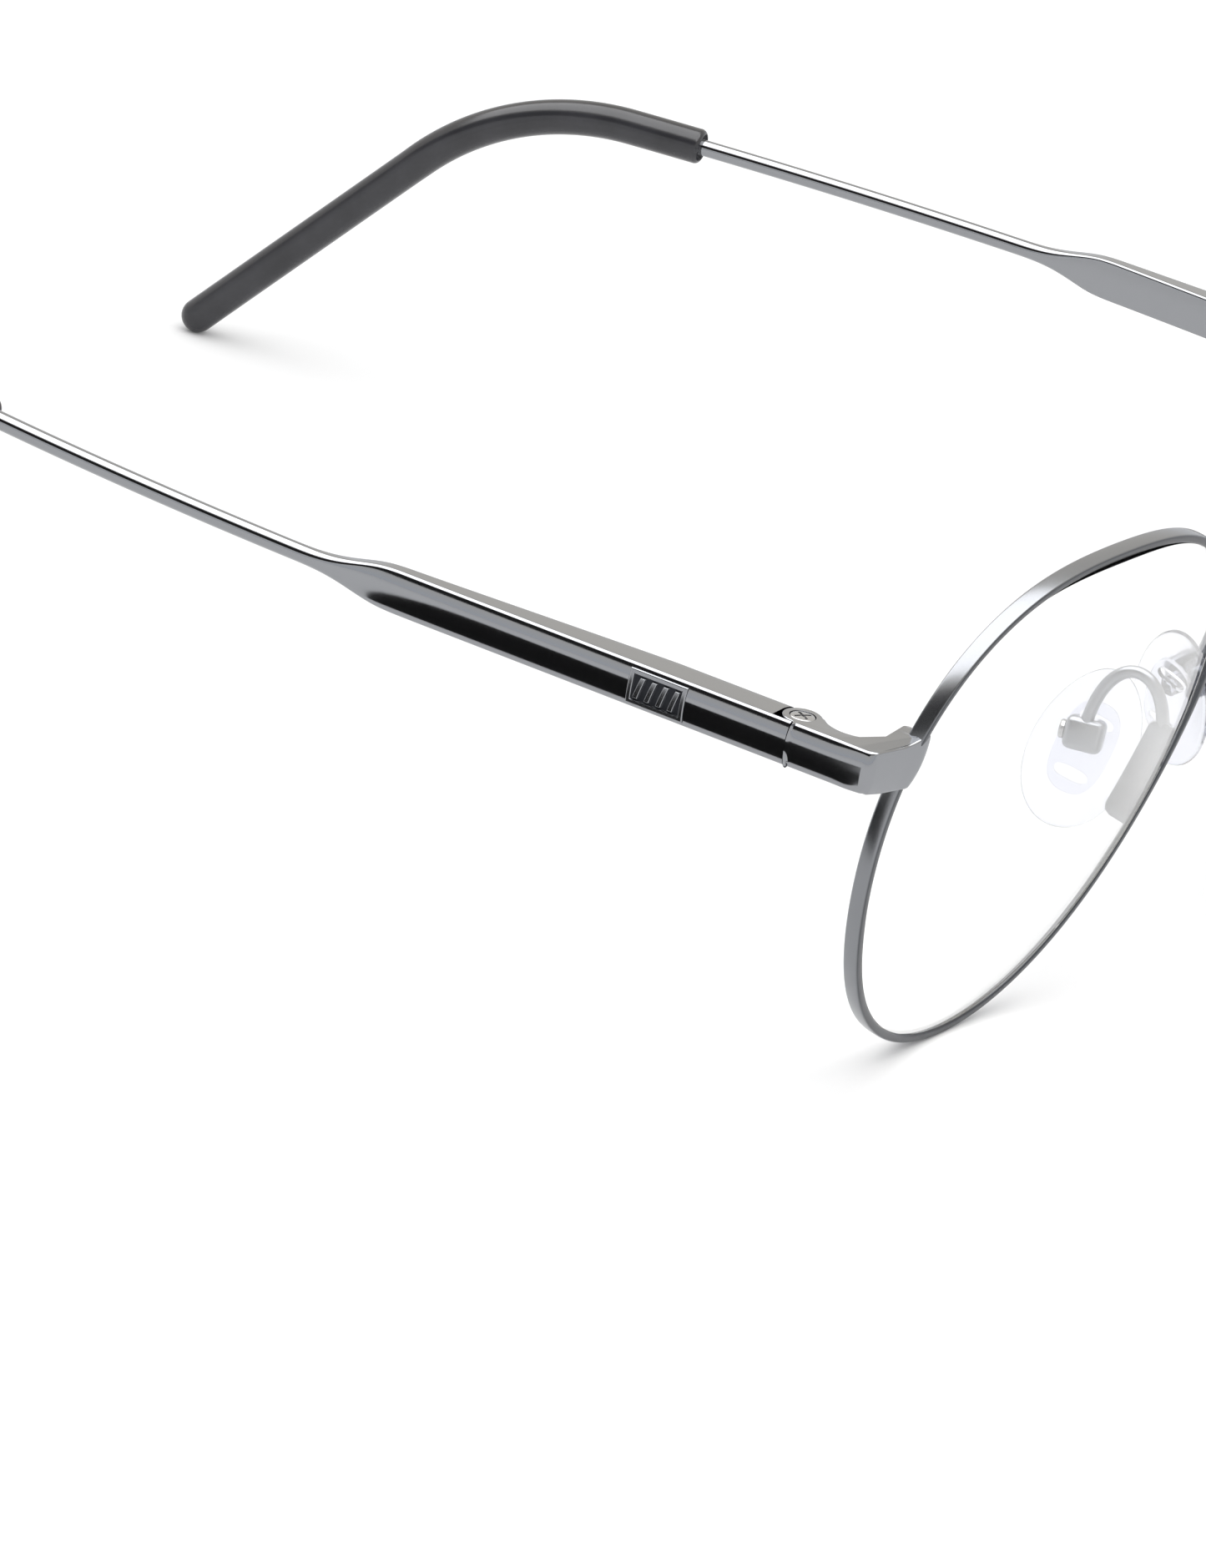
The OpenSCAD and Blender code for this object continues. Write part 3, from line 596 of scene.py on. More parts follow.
def temple_shell(f, sizes):
    """The blade's section carried along the temple's line: its height falls along a cosine over
    the neck, its inner face tapers, and it turns round before the wire."""
    line = TemplePath(f, sizes)
    hinge = f.s.hinge_back
    neck_end = sizes.neck_start + sizes.neck_len
    run = np.concatenate([np.linspace(hinge, sizes.neck_start, 60),
                          np.linspace(sizes.neck_start, neck_end, 40)[1:],
                          np.linspace(neck_end, line.bow_end, 40)[1:],
                          np.linspace(line.bow_end, line.ear_end, 20)[1:],
                          np.linspace(line.ear_end, line.length - 9.5, 6)[1:]])
    place, outward, up = line.at(run)
    wire = line.wire_r
    outer = wire + 0.03
    loops = []
    for y in run:
        neck = float(ease((y - sizes.neck_start) / sizes.neck_len))
        half = wire + (f.s.blade_h / 2 - wire) * (1 - neck)
        taper = np.clip((y - sizes.taper_start) / (neck_end - 6 - sizes.taper_start), 0, 1)
        inner = outer - sizes.blade_t + (sizes.blade_t - 2 * wire - 0.1) * (taper * 0.86 + 0.14 * ease(taper))
        roundness = float(ease((y - sizes.neck_start - 1.5) / (sizes.neck_len - 2)))
        crown = f.s.crown_r - (f.s.crown_r - 1.6 * half) * roundness * 0.4
        loops.append(blade_section(outer - 0.03 * roundness, inner, half, max(crown, half * 1.15),
                                   min(f.s.edge_r, half * 0.5), wire, roundness))
    return Shell(sweep(place, outward, up, np.stack(loops)))


def temple_cutters(f):
    """The hinge's clearance in the temple: a bore round the barrel, a square corner outside it, and
    the inner side cut back."""
    r = f.s.barrel_r + 0.1
    disc = arc((0, 0), r, 0, 354, 60)
    corner = np.array([(0, -0.6), (r, -0.6), (r, r), (0, r)])
    inner = np.array([(-6, -0.6), (0, -0.6), (0, 0.82), (-6, 0.82)])
    return [prism(plan, -9, 9) for plan in (disc, corner, inner)]


def tip_shell(f, sizes):
    """A round sleeve on the temple's line: it swells from the wire over a rounded collar, and ends
    in a half sphere."""
    line = TemplePath(f, sizes)
    start = line.bow_end - sizes.sleeve_lead
    r0 = sizes.sleeve_d / 2 - 0.02
    end = line.length
    collar = np.linspace(0, 1, 9)
    run = np.concatenate([[start], start + 0.5 * (1 - np.cos(collar * np.pi / 2)),
                          np.linspace(start + 0.5, line.ear_end, 60)[1:],
                          np.linspace(line.ear_end, end, 20)[1:],
                          end + (r0 - 0.02) * np.sin(np.linspace(0, np.pi / 2, 12))[1:]])
    radius = np.full(len(run), r0)
    radius[0] = line.wire_r + 0.02
    radius[1:10] = r0 - 0.45 * (1 - np.sin(collar * np.pi / 2))
    radius[run > line.ear_end] = r0 - 0.02
    radius[-11:] = (r0 - 0.02) * np.cos(np.linspace(0, np.pi / 2, 12))[1:]
    place, outward, up = line.at(run)
    return Shell(sweep(place, outward, up, circle_loop(1.0, 48)[None] * radius[:, None, None]))


def badge_shell(f, sizes):
    """A gently crowned plate with a raised border round four slanting ribs on a sunk panel. Its
    face is a height over length and height of the plate; its sides go straight down into the
    blade."""
    half_l, half_h = sizes.badge_l / 2, sizes.badge_h / 2
    along = np.linspace(-half_l, half_l, 170)
    up = np.linspace(-half_h, half_h, 100)
    a, z = np.meshgrid(along, up, indexing="ij")
    to_edge = np.minimum(half_l - np.abs(a), half_h - np.abs(z))
    panel = np.clip((to_edge - sizes.badge_border) / 0.07, 0, 1)
    inner = half_l - sizes.badge_border - 0.1
    ribs = 4
    phase = ((a + 0.25 * z + inner) / (2 * inner / ribs)) % 1
    rib = np.clip((0.27 - np.abs(phase - 0.5)) / 0.09, 0, 1)
    rib = rib * np.clip((to_edge - sizes.badge_border - 0.16) / 0.07, 0, 1)
    edge = np.sqrt(np.clip(1 - np.clip(1 - to_edge / 0.12, 0, 1) ** 2, 0, 1))
    height = 0.06 * edge - 0.2 * panel * (1 - 0.9 * rib)
    face = np.stack([plate_face(f, z) + height, a + HINGE[1] + sizes.badge_back, z + HINGE[2]], -1)
    floor = face.copy()
    floor[..., 0] = f.outer_x - 0.9
    return closed_sheet(face, floor)


def plate_face(f, z):
    """How far out the badge plate's crown lies at a height z above the hinge's middle."""
    return f.outer_x - PLATE_CROWN_R + np.sqrt(np.clip(PLATE_CROWN_R ** 2 - z ** 2, 0, None))


def closed_sheet(top, bottom):
    """A closed shell from two sheets on the same grid, joined round their edge."""
    rows, cols = top.shape[:2]
    base = grid_faces(rows, cols)
    n = rows * cols
    grid = np.arange(n).reshape(rows, cols)
    rim = np.concatenate([grid[0, :-1], grid[:-1, -1], grid[-1, :0:-1], grid[:0:-1, 0]])
    nxt = np.roll(rim, -1)
    walls = np.stack([nxt, rim, rim + n, nxt + n], -1)
    points = np.concatenate([top.reshape(-1, 3), bottom.reshape(-1, 3)])
    return Shell(points, quads=np.concatenate([base, base[:, ::-1] + n, walls]))


# ---------------------------------------------------------------- nose pads

class PadAxes:
    """The pad's own axes at its screw: x outwards, y back along the screw, z up the pad."""

    def __init__(self, sizes):
        self.s = sizes
        splay = np.degrees(np.arctan2(PAD_AXIS[0], PAD_AXIS[1]))
        self.turn = rotation("Z", -splay) @ rotation("Y", -sizes.frontal)

    def lean(self, local):
        """Points turned with the pad, in its own plane, about its middle."""
        middle = np.array([0, 0, -self.s.low])
        return (np.asarray(local, float) - middle) @ rotation("X", self.s.lean).T + middle

    def place(self, local):
        """Points in the pad's axes, put in the shared frame."""
        return np.asarray(local, float) @ self.turn.T + PAD_PIVOT


def pad_shell(axes):
    """An oval pad: its outline shrinks to the middle of its front and back, the front is crowned,
    the edge is round, and the back is flat."""
    s = axes.s
    t = np.linspace(0, 2 * np.pi, 120, endpoint=False)
    outline = np.stack([s.width / 2 * np.cos(t) * (1 - 0.1 * np.sin(t)), s.length / 2 * np.sin(t)], -1)
    edge_t = 0.7
    share = np.sin(np.linspace(0.0, np.pi / 2, 18))
    front_x = -s.thick + (s.thick - edge_t) * share ** 2
    turn = np.linspace(-np.pi / 2, np.pi / 2, 11)[1:-1]
    edge_share = 1 - 0.09 * (1 - np.cos(turn))
    edge_x = -edge_t / 2 + edge_t / 2 * np.sin(turn)
    shares = np.concatenate([share * 0.91, edge_share, share[::-1] * 0.91])
    depth = np.concatenate([front_x, edge_x, 0.0 * share])
    grid = np.empty((len(shares), len(t), 3))
    grid[..., 0] = -s.stand + depth[:, None]
    grid[..., 1] = outline[None, :, 0] * shares[:, None]
    grid[..., 2] = outline[None, :, 1] * shares[:, None] - s.low
    return Shell(axes.place(axes.lean(grid)), caps=False)


def insert_grid(axes, x0, x1, middle=0.0, length=4.0, width=2.3):
    """A flat oval plate in the pad, as two rings: each side of its outline is a cosine or a sine to
    the power 0.75, which squares an ellipse a little."""
    t = np.linspace(0, 2 * np.pi, 72, endpoint=False)
    c, s = np.cos(t), np.sin(t)
    y = width * np.sign(c) * np.abs(c) ** 0.75
    z = length * np.sign(s) * np.abs(s) ** 0.75 + middle - axes.s.low
    return np.stack([np.column_stack([np.full(len(t), x), y, z]) for x in (x0, x1)])


def box_between(low, high, r=0.15, steps=4):
    """A box with all its edges rounded, as rings in local axes: the plan, drawn in by the inset of
    a quarter round at the bottom and the top."""
    low, high = np.array(low, float), np.array(high, float)
    loop = rounded_loop(low[0], high[0], low[1], high[1], r, steps)
    turn = np.linspace(0, np.pi / 2, 6)
    lower = np.stack([low[2] + r * (1 - np.sin(turn)), r * (1 - np.cos(turn))], -1)[::-1]
    upper = lower[::-1] * [-1, 1] + [high[2] + low[2], 0]
    middle, span = ((low + high) / 2)[:2], (high - low)[:2]
    rings = []
    for z, inset in (*lower, *upper):
        ring = middle + (loop - middle) * (span - 2 * inset) / span
        rings.append(np.column_stack([ring, np.full(len(ring), z)]))
    return np.stack(rings)


def along_screw(r, back, front_y, steps=36):
    """A round bar along the pad screw, as rings in local axes."""
    loop = circle_loop(r, steps)
    rings = [np.column_stack([loop[:, 0], np.full(steps, y), loop[:, 1]]) for y in (back, front_y)]
    return np.stack(rings)


def turned(profile, steps=40):
    """A profile of (radius, height) pairs turned about Z."""
    a = np.linspace(0, 2 * np.pi, steps, endpoint=False)
    return np.stack([np.column_stack([r * np.cos(a), r * np.sin(a), np.full(steps, z)]) for r, z in profile])


def arm_wire(f, axes):
    """A round wire along a cubic curve from the box over a crest down to the foot, all in one
    upright plane; the curve's two handles stand above its ends."""
    s = axes.s
    r = s.arm_d / 2
    at = f.outline(np.radians([FOOT_WIRE]), f.rim_out + r + 0.05)[0]
    start = f.from_lens(at[0], s.foot_back - 2 * r, at[1])
    stop = axes.place([0.2 * s.box, 0, 0])
    stop[2] = PAD_PIVOT[2] + 0.45 * s.box
    crest_z = PAD_PIVOT[2] + s.arm_loop + 0.15
    middle_z = (start[2] + stop[2]) / 2
    run = start - stop
    handles = np.array([stop + 0.12 * run, start - 0.1 * run])
    handles[:, 2] = middle_z + 4 / 3 * (crest_z - middle_z)
    b = np.linspace(0, 1, 60)[:, None]
    curve = (1 - b) ** 3 * stop + 3 * b * (1 - b) ** 2 * handles[0] + 3 * b * b * (1 - b) * handles[1]
    curve = curve + b ** 3 * start
    path = np.concatenate([[stop - 0.5 * UP], curve, [start - 0.5 * UP]])
    side = np.cross(run * [1, 1, 0], UP)
    side = np.broadcast_to(side / np.linalg.norm(side), path.shape)
    along = np.gradient(path, axis=0)
    along /= np.linalg.norm(along, axis=1, keepdims=True)
    return Shell(sweep(path, side, np.cross(along, side), circle_loop(r, 28)))


def arm_foot(f, axes):
    """A strip that follows the rim's nasal flank; its section shrinks along a quarter circle at
    each end."""
    s = axes.s
    count = 40
    t = np.radians(np.linspace(FOOT_TOP, FOOT_END, count))
    base, out = f.outline(t), f.normal(t)
    to_end = np.minimum(np.arange(count), count - 1 - np.arange(count))
    shrink = 0.55 + 0.45 * np.sqrt(1 - (1 - np.clip(to_end / 4, 0, 1)) ** 2)
    middle, half = (s.foot_back - 0.35) / 2, (s.foot_back + 0.35) / 2
    loop = rounded_loop(0, s.foot_t, -half, half, 0.25)
    u = f.rim_out - 0.02 + loop[None, :, 0] * shrink[:, None]
    v = middle + loop[None, :, 1] * shrink[:, None]
    x = base[:, None, 0] + u * out[:, None, 0]
    z = base[:, None, 1] + u * out[:, None, 1]
    return Shell(f.from_lens(x, v, z))


# ---------------------------------------------------------------- finishes

def node_group(name, inputs, outputs):
    """A new shader node group with float, vector or colour sockets."""
    group = bpy.data.node_groups.new(name, "ShaderNodeTree")
    kinds = {"f": "NodeSocketFloat", "v": "NodeSocketVector", "c": "NodeSocketColor"}
    for label, kind, default in inputs:
        socket = group.interface.new_socket(label, in_out="INPUT", socket_type=kinds[kind])
        if default is not None:
            socket.default_value = default
    for label, kind in outputs:
        group.interface.new_socket(label, in_out="OUTPUT", socket_type=kinds[kind])
    start = group.nodes.new("NodeGroupInput")
    end = group.nodes.new("NodeGroupOutput")
    return group, start.outputs, end.inputs


class Tree:
    """Short ways to add and join nodes in one tree."""

    def __init__(self, tree):
        self.tree = tree

    def add(self, kind, **values):
        """Adds a shader node of a kind, with its settings."""
        node = self.tree.nodes.new("ShaderNode" + kind)
        for key, value in values.items():
            setattr(node, key, value)
        return node

    def join(self, source, target):
        """Links an output socket to an input socket."""
        self.tree.links.new(source, target)

    def math(self, operation, a, b=0.0):
        """Adds a math node on two values, each a number or a socket."""
        node = self.add("Math", operation=operation)
        for socket, value in zip(node.inputs, (a, b)):
            if isinstance(value, (int, float)):
                socket.default_value = value
            else:
                self.join(value, socket)
        return node.outputs[0]

    def noise(self, vector, scale, detail=3.0):
        """Adds a noise texture and gives its value."""
        node = self.add("TexNoise")
        self.join(vector, node.inputs["Vector"])
        node.inputs["Scale"].default_value = scale
        node.inputs["Detail"].default_value = detail
        return node.outputs["Fac"]

    def blend(self, factor, a, b):
        """Mixes two colours, each a value or a socket."""
        node = self.add("Mix", data_type="RGBA")
        self.join(factor, node.inputs[0])
        for socket, value in zip(node.inputs[6:8], (a, b)):
            if isinstance(value, (tuple, list)):
                socket.default_value = (*value, 1) if len(value) == 3 else value
            else:
                self.join(value, socket)
        return node.outputs[2]


def grain_group():
    """Plating grain: fine noise and a slow cloud change the roughness and the height, and darken
    the colour a little. Strengths are per material."""
    group, given, out = node_group(
        "plating_grain",
        [("Vector", "v", None), ("Base", "c", (0.3, 0.3, 0.3, 1)), ("Dark", "c", (0.1, 0.1, 0.1, 1)),
         ("Roughness", "f", 0.2), ("Spread", "f", 0.05), ("Tint", "f", 0.1)],
        [("Colour", "c"), ("Roughness", "f"), ("Height", "f")])
    t = Tree(group)
    grain = t.noise(given["Vector"], 9000.0, 2.0)
    cloud = t.noise(given["Vector"], 420.0, 3.0)
    swing = t.math("ADD", t.math("SUBTRACT", grain, 0.5), t.math("SUBTRACT", cloud, 0.5))
    t.join(t.math("ADD", given["Roughness"], t.math("MULTIPLY", swing, given["Spread"])), out["Roughness"])
    shade = t.math("MULTIPLY", t.math("ADD", t.math("MULTIPLY", grain, 0.6), t.math("MULTIPLY", cloud, 0.4)),
                   given["Tint"])
    t.join(t.blend(shade, given["Base"], given["Dark"]), out["Colour"])
    t.join(grain, out["Height"])
    return group


def brush_group():
    """Brushing: noise stretched along one axis of the vector gives fine parallel lines."""
    group, given, out = node_group(
        "brushed_lines", [("Vector", "v", None), ("Stretch", "v", (1, 1, 1)), ("Lines", "f", 2000.0)],
        [("Height", "f")])
    t = Tree(group)
    scale = t.add("VectorMath", operation="MULTIPLY")
    t.join(given["Vector"], scale.inputs[0])
    t.join(given["Stretch"], scale.inputs[1])
    noise = t.add("TexNoise")
    t.join(scale.outputs[0], noise.inputs["Vector"])
    t.join(given["Lines"], noise.inputs["Scale"])
    noise.inputs["Detail"].default_value = 3
    t.join(noise.outputs["Fac"], out["Height"])
    return group


def shared_group(name, maker):
    """The group of that name, made once."""
    return bpy.data.node_groups.get(name) or maker()


def new_material(name):
    """A material with its Principled shader, the tree, and its object coordinates."""
    material = bpy.data.materials.new(name)
    material.use_nodes = True
    shader = material.node_tree.nodes["Principled BSDF"]
    t = Tree(material.node_tree)
    where = t.add("TexCoord").outputs["Object"]
    return material, shader, t, where


def metal(name, base, roughness, spread, bump, brushed=None, tint=0.12, shade=None):
    """Plated metal: grain in colour, roughness and height, brushing where stretch is given, and
    the shade colour, which is painted shade, where the mesh's shade attribute is 1."""
    found = bpy.data.materials.get(name)
    if found:
        return found
    material, shader, t, where = new_material(name)
    shader.inputs["Metallic"].default_value = 1
    grain = t.add("Group", node_tree=shared_group("plating_grain", grain_group))
    t.join(where, grain.inputs["Vector"])
    grain.inputs["Base"].default_value = (*base, 1)
    grain.inputs["Dark"].default_value = (*(0.6 * c for c in base), 1)
    grain.inputs["Roughness"].default_value = roughness
    grain.inputs["Spread"].default_value = spread
    grain.inputs["Tint"].default_value = tint
    colours = grain.outputs["Colour"]
    if shade:
        # Painted shade: the shade attribute marks where the darker colour is painted.
        mask = t.add("Attribute", attribute_name="shade").outputs["Fac"]
        colours = t.blend(mask, colours, tuple(shade))
    t.join(colours, shader.inputs["Base Color"])
    t.join(grain.outputs["Roughness"], shader.inputs["Roughness"])
    height = grain.outputs["Height"]
    if brushed:
        lines = t.add("Group", node_tree=shared_group("brushed_lines", brush_group))
        t.join(where, lines.inputs["Vector"])
        lines.inputs["Stretch"].default_value = brushed
        height = t.math("ADD", t.math("MULTIPLY", height, 0.3), lines.outputs["Height"])
    hollow = t.add("Bump")
    hollow.inputs["Strength"].default_value = 1
    hollow.inputs["Distance"].default_value = bump
    t.join(height, hollow.inputs["Height"])
    t.join(hollow.outputs["Normal"], shader.inputs["Normal"])
    return material


def clear(name, tint, roughness, ior, ripple=0.0):
    """Clear lens, silicone or hard plastic, with a faint ripple in its surface."""
    found = bpy.data.materials.get(name)
    if found:
        return found
    material, shader, t, where = new_material(name)
    shader.inputs["Transmission Weight"].default_value = 1
    shader.inputs["IOR"].default_value = ior
    haze = t.noise(where, 300.0, 2.0)
    t.join(t.math("ADD", roughness, t.math("MULTIPLY", haze, roughness * 0.5)), shader.inputs["Roughness"])
    t.join(t.blend(haze, tint, tuple(min(1.0, c * 1.02) for c in tint)), shader.inputs["Base Color"])
    if ripple:
        hollow = t.add("Bump")
        hollow.inputs["Distance"].default_value = ripple
        t.join(t.noise(where, 900.0, 2.0), hollow.inputs["Height"])
        t.join(hollow.outputs["Normal"], shader.inputs["Normal"])
    return material


def acetate(name, base):
    """Polished black acetate with a faint cloud in its depth and fine handling marks."""
    found = bpy.data.materials.get(name)
    if found:
        return found
    material, shader, t, where = new_material(name)
    cloud = t.noise(where, 260.0, 4.0)
    t.join(t.blend(cloud, base, tuple(3.2 * c + 0.004 for c in base)), shader.inputs["Base Color"])
    marks = t.noise(where, 5200.0, 2.0)
    t.join(t.math("ADD", 0.14, t.math("MULTIPLY", marks, 0.12)), shader.inputs["Roughness"])
    shader.inputs["IOR"].default_value = 1.5
    hollow = t.add("Bump")
    hollow.inputs["Distance"].default_value = 2e-6
    t.join(marks, hollow.inputs["Height"])
    t.join(hollow.outputs["Normal"], shader.inputs["Normal"])
    return material


def finish(kind):
    """The material of that name."""
    c = bpy.context.scene.glasses_finishes
    if kind == "polished":
        return metal("polished_plating", c.polished, 0.085, 0.04, 1.2e-7)
    if kind == "satin":
        return metal("brushed_plating", c.satin, 0.27, 0.08, 4e-7, brushed=(1, 1, 0.06))
    if kind == "rim":
        # The rims' plating, with painted shade on their front and inner faces.
        return metal("rim_plating_painted_shade", c.satin, 0.24, 0.08, 4e-7, brushed=(1, 1, 0.06), shade=c.shade)
    if kind == "arm":
        return metal("arm_plating", c.arm, 0.3, 0.08, 4e-7)
    if kind == "steel":
        return metal("turned_steel", c.steel, 0.24, 0.08, 4e-7, tint=0.25)
    if kind == "badge":
        return badge_finish(c)
    if kind == "lens":
        return clear("lens_plastic", (1.0, 1.0, 1.0), 0.0, 1.74)
    if kind == "silicone":
        return clear("pad_silicone", (0.85, 0.86, 0.91), 0.12, 1.3, ripple=2e-6)
    if kind == "insert":
        return clear("pad_insert_plastic", (0.87, 0.88, 0.93), 0.05, 1.36)
    return acetate("black_tip_acetate", tuple(c.tip))


def badge_finish(c):
    """The plate's metal: bright on its raised lands and oxidised in its hollows, told apart by how
    deep the surface lies under the blade's crown."""
    found = bpy.data.materials.get("oxidised_badge")
    if found:
        return found
    material, shader, t, where = new_material("oxidised_badge")
    shader.inputs["Metallic"].default_value = 1
    depth = t.add("Attribute", attribute_name="land").outputs["Fac"]
    dirt = t.math("MULTIPLY", t.math("SUBTRACT", t.noise(where, 2600.0, 3.0), 0.5), 0.5)
    mask = t.add("MapRange")
    t.join(t.math("ADD", depth, dirt), mask.inputs["Value"])
    mask.inputs["From Min"].default_value = 0.35
    mask.inputs["From Max"].default_value = 0.7
    t.join(t.blend(mask.outputs[0], tuple(c.oxide), tuple(c.polished)), shader.inputs["Base Color"])
    rough = t.add("MapRange")
    t.join(mask.outputs[0], rough.inputs["Value"])
    rough.inputs["To Min"].default_value = 0.5
    rough.inputs["To Max"].default_value = 0.22
    t.join(rough.outputs[0], shader.inputs["Roughness"])
    return material


# ---------------------------------------------------------------- operators

def make_pair(shells, name, body, material, cutters=(), crease=35):
    """A piece on each side from shells drawn for the wearer's left, carved where needed."""
    left = new_mesh(f"left_{name}_surface", *merged(shells), crease)
    if cutters:
        carve(left, cutters, crease)
    pair = {"left": left, "right": twin(left, f"right_{name}_surface")}
    for side in SIDES:
        finish_piece(pair[side], f"{side}_{name}", body.format(side=side), material)
    return [pair[side] for side in SIDES]


def twin(piece, name):
    """A copy of a piece, mirrored on to the wearer's right."""
    mesh = piece.data.copy()
    co = np.empty(len(mesh.vertices) * 3, np.float32)
    mesh.vertices.foreach_get("co", co)
    co[::3] *= -1
    mesh.vertices.foreach_set("co", co)
    mesh.flip_normals()
    copy = bpy.data.objects.new(name, mesh)
    bpy.context.scene.collection.objects.link(copy)
    return copy


class EYEGLASSES_OT_rims(bpy.types.Operator):
    """Builds both rims"""
    bl_idname = "eyeglasses.rims"
    bl_label = "Rims"

    def execute(self, context):
        f = front()
        rims = make_pair([rim_shell(f)], "rim", "front", finish("rim"))
        for rim in rims:
            mark_front(rim, f)
        return {"FINISHED"}


class EYEGLASSES_OT_lenses(bpy.types.Operator):
    """Builds both lenses"""
    bl_idname = "eyeglasses.lenses"
    bl_label = "Lenses"

    def execute(self, context):
        lenses = make_pair([lens_shell(front())], "lens", "front", finish("lens"), crease=30)
        for lens in lenses:
            lens.visible_shadow = False
        return {"FINISHED"}


class EYEGLASSES_OT_bridge(bpy.types.Operator):
    """Builds the bridge between the rims"""
    bl_idname = "eyeglasses.bridge"
    bl_label = "Bridge"

    def execute(self, context):
        points, faces = merged([bridge_shell(front())])
        piece = new_mesh("bridge_surface", points, faces)
        finish_piece(piece, "bridge", "front", finish("polished"))
        return {"FINISHED"}


class EYEGLASSES_OT_endpieces(bpy.types.Operator):
    """Builds both end pieces with their barrels and lugs"""
    bl_idname = "eyeglasses.endpieces"
    bl_label = "End pieces"

    def execute(self, context):
        f = front()
        gap = knuckle_levels(f)
        disc = arc((0, 0), f.s.barrel_r + 0.05, 0, 354, 60)
        sill = np.array([(-3, 0), (1.9, 0), (1.9, 3), (-3, 3)])
        bore = arc((0, 0), SCREW_HEAD_R + 0.04, 0, 352, 46)
        hole = arc((0, 0), SCREW_R + 0.02, 0, 352, 46)
        cuts = [prism(disc, -gap, gap), prism(sill, -gap, gap), prism(bore, f.s.blade_h / 2 - 0.57, 4),
                prism(hole, -4, 4)] + rim_cutters(f)
        make_pair([endpiece_shell(f)], "endpiece", "front", finish("polished"), cuts)
        return {"FINISHED"}


class EYEGLASSES_OT_temples(bpy.types.Operator):
    """Builds both temples from the hinge to the end of the wire"""
    bl_idname = "eyeglasses.temples"
    bl_label = "Temples"

    def execute(self, context):
        f, sizes = front(), context.scene.glasses_temples
        half_l, half_h = sizes.badge_l / 2 + 0.02, sizes.badge_h / 2 + 0.02
        pocket = box_between((f.outer_x - 0.6, HINGE[1] + sizes.badge_back - half_l, HINGE[2] - half_h),
                             (f.outer_x + 1, HINGE[1] + sizes.badge_back + half_l, HINGE[2] + half_h), 0.01)
        cuts = temple_cutters(f) + [Shell(pocket)]
        make_pair([temple_shell(f, sizes)], "temple", "{side}_temple_arm",
                  finish("polished"), cuts)
        return {"FINISHED"}


class EYEGLASSES_OT_badges(bpy.types.Operator):
    """Builds the ribbed plate on each temple"""
    bl_idname = "eyeglasses.badges"
    bl_label = "Badge plates"

    def execute(self, context):
        f, sizes = front(), context.scene.glasses_temples
        for piece in make_pair([badge_shell(f, sizes)], "temple_badge", "{side}_temple_arm",
                               finish("badge"), crease=60):
            mark_lands(piece, f)
        return {"FINISHED"}


def vertex_places(piece):
    """The piece's points in millimetres, put on the wearer's left."""
    co = np.empty(len(piece.data.vertices) * 3, np.float32)
    piece.data.vertices.foreach_get("co", co)
    return np.abs(co.reshape(-1, 3) / MM * [1, 0, 0]) + co.reshape(-1, 3) / MM * [0, 1, 1]


def mark_front(piece, f):
    """Stores on each point of a rim how much it belongs to the front and inner faces, which get painted
    shade.
    """
    local = (vertex_places(piece) - f.origin - [f.eye_x, 0, 0]) @ f.turn
    t = np.arctan2(local[:, 2] / f.stretch_z, local[:, 0] / f.stretch_x)
    edge = f.outline(t)
    grow = np.hypot(local[:, 0], local[:, 2]) - np.hypot(edge[:, 0], edge[:, 1])
    front_face = np.clip((-f.s.rim_d / 2 + 0.1 - local[:, 1]) / 0.08, 0, 1)
    inner = np.clip((0.1 - grow) / 0.15, 0, 1)
    # Painted shade mask: 1 on the front face and on the inner side.
    shade = np.maximum(front_face, inner).astype(np.float32)
    piece.data.attributes.new("shade", "FLOAT", "POINT").data.foreach_set("value", shade)


def mark_lands(piece, f):
    """Stores on each point how high it stands: 0 on the hollows' floor, 1 on the lands."""
    co = vertex_places(piece)
    z = co[:, 2] - HINGE[2]
    crown = f.outer_x - (7.0 - np.sqrt(np.clip(49.0 - z ** 2, 0, None)))
    land = np.clip((co[:, 0] - crown + 0.17) / 0.15, 0, 1)
    piece.data.attributes.new("land", "FLOAT", "POINT").data.foreach_set("value", land.astype(np.float32))


class EYEGLASSES_OT_tips(bpy.types.Operator):
    """Builds the sleeve on the end of each temple"""
    bl_idname = "eyeglasses.tips"
    bl_label = "Temple tips"

    def execute(self, context):
        shell = tip_shell(front(), context.scene.glasses_temples)
        make_pair([shell], "temple_tip", "{side}_temple_arm", finish("tip"))
        return {"FINISHED"}


class EYEGLASSES_OT_pad_arms(bpy.types.Operator):
    """Builds the wire arm and foot behind each rim"""
    bl_idname = "eyeglasses.pad_arms"
    bl_label = "Pad arms"

    def execute(self, context):
        f, axes = front(), PadAxes(context.scene.glasses_pads)
        make_pair([arm_foot(f, axes), arm_wire(f, axes)], "pad_arm", "front", finish("arm"))
        return {"FINISHED"}


class EYEGLASSES_OT_pad_boxes(bpy.types.Operator):
    """Builds the box that holds each nose pad"""
    bl_idname = "eyeglasses.pad_boxes"
    bl_label = "Pad boxes"

    def execute(self, context):
        axes = PadAxes(context.scene.glasses_pads)
        b = axes.s.box / 2
        body = Shell(axes.place(box_between((-b, -1.6, -1.4), (b, 1.6, 1.4), 0.6, 8)))
        slot = Shell(axes.place(box_between((-3, -0.8, -3), (1.05, 0.8, 3), 0.05)))
        make_pair([body], "pad_box", "front", finish("arm"), [slot])
        return {"FINISHED"}


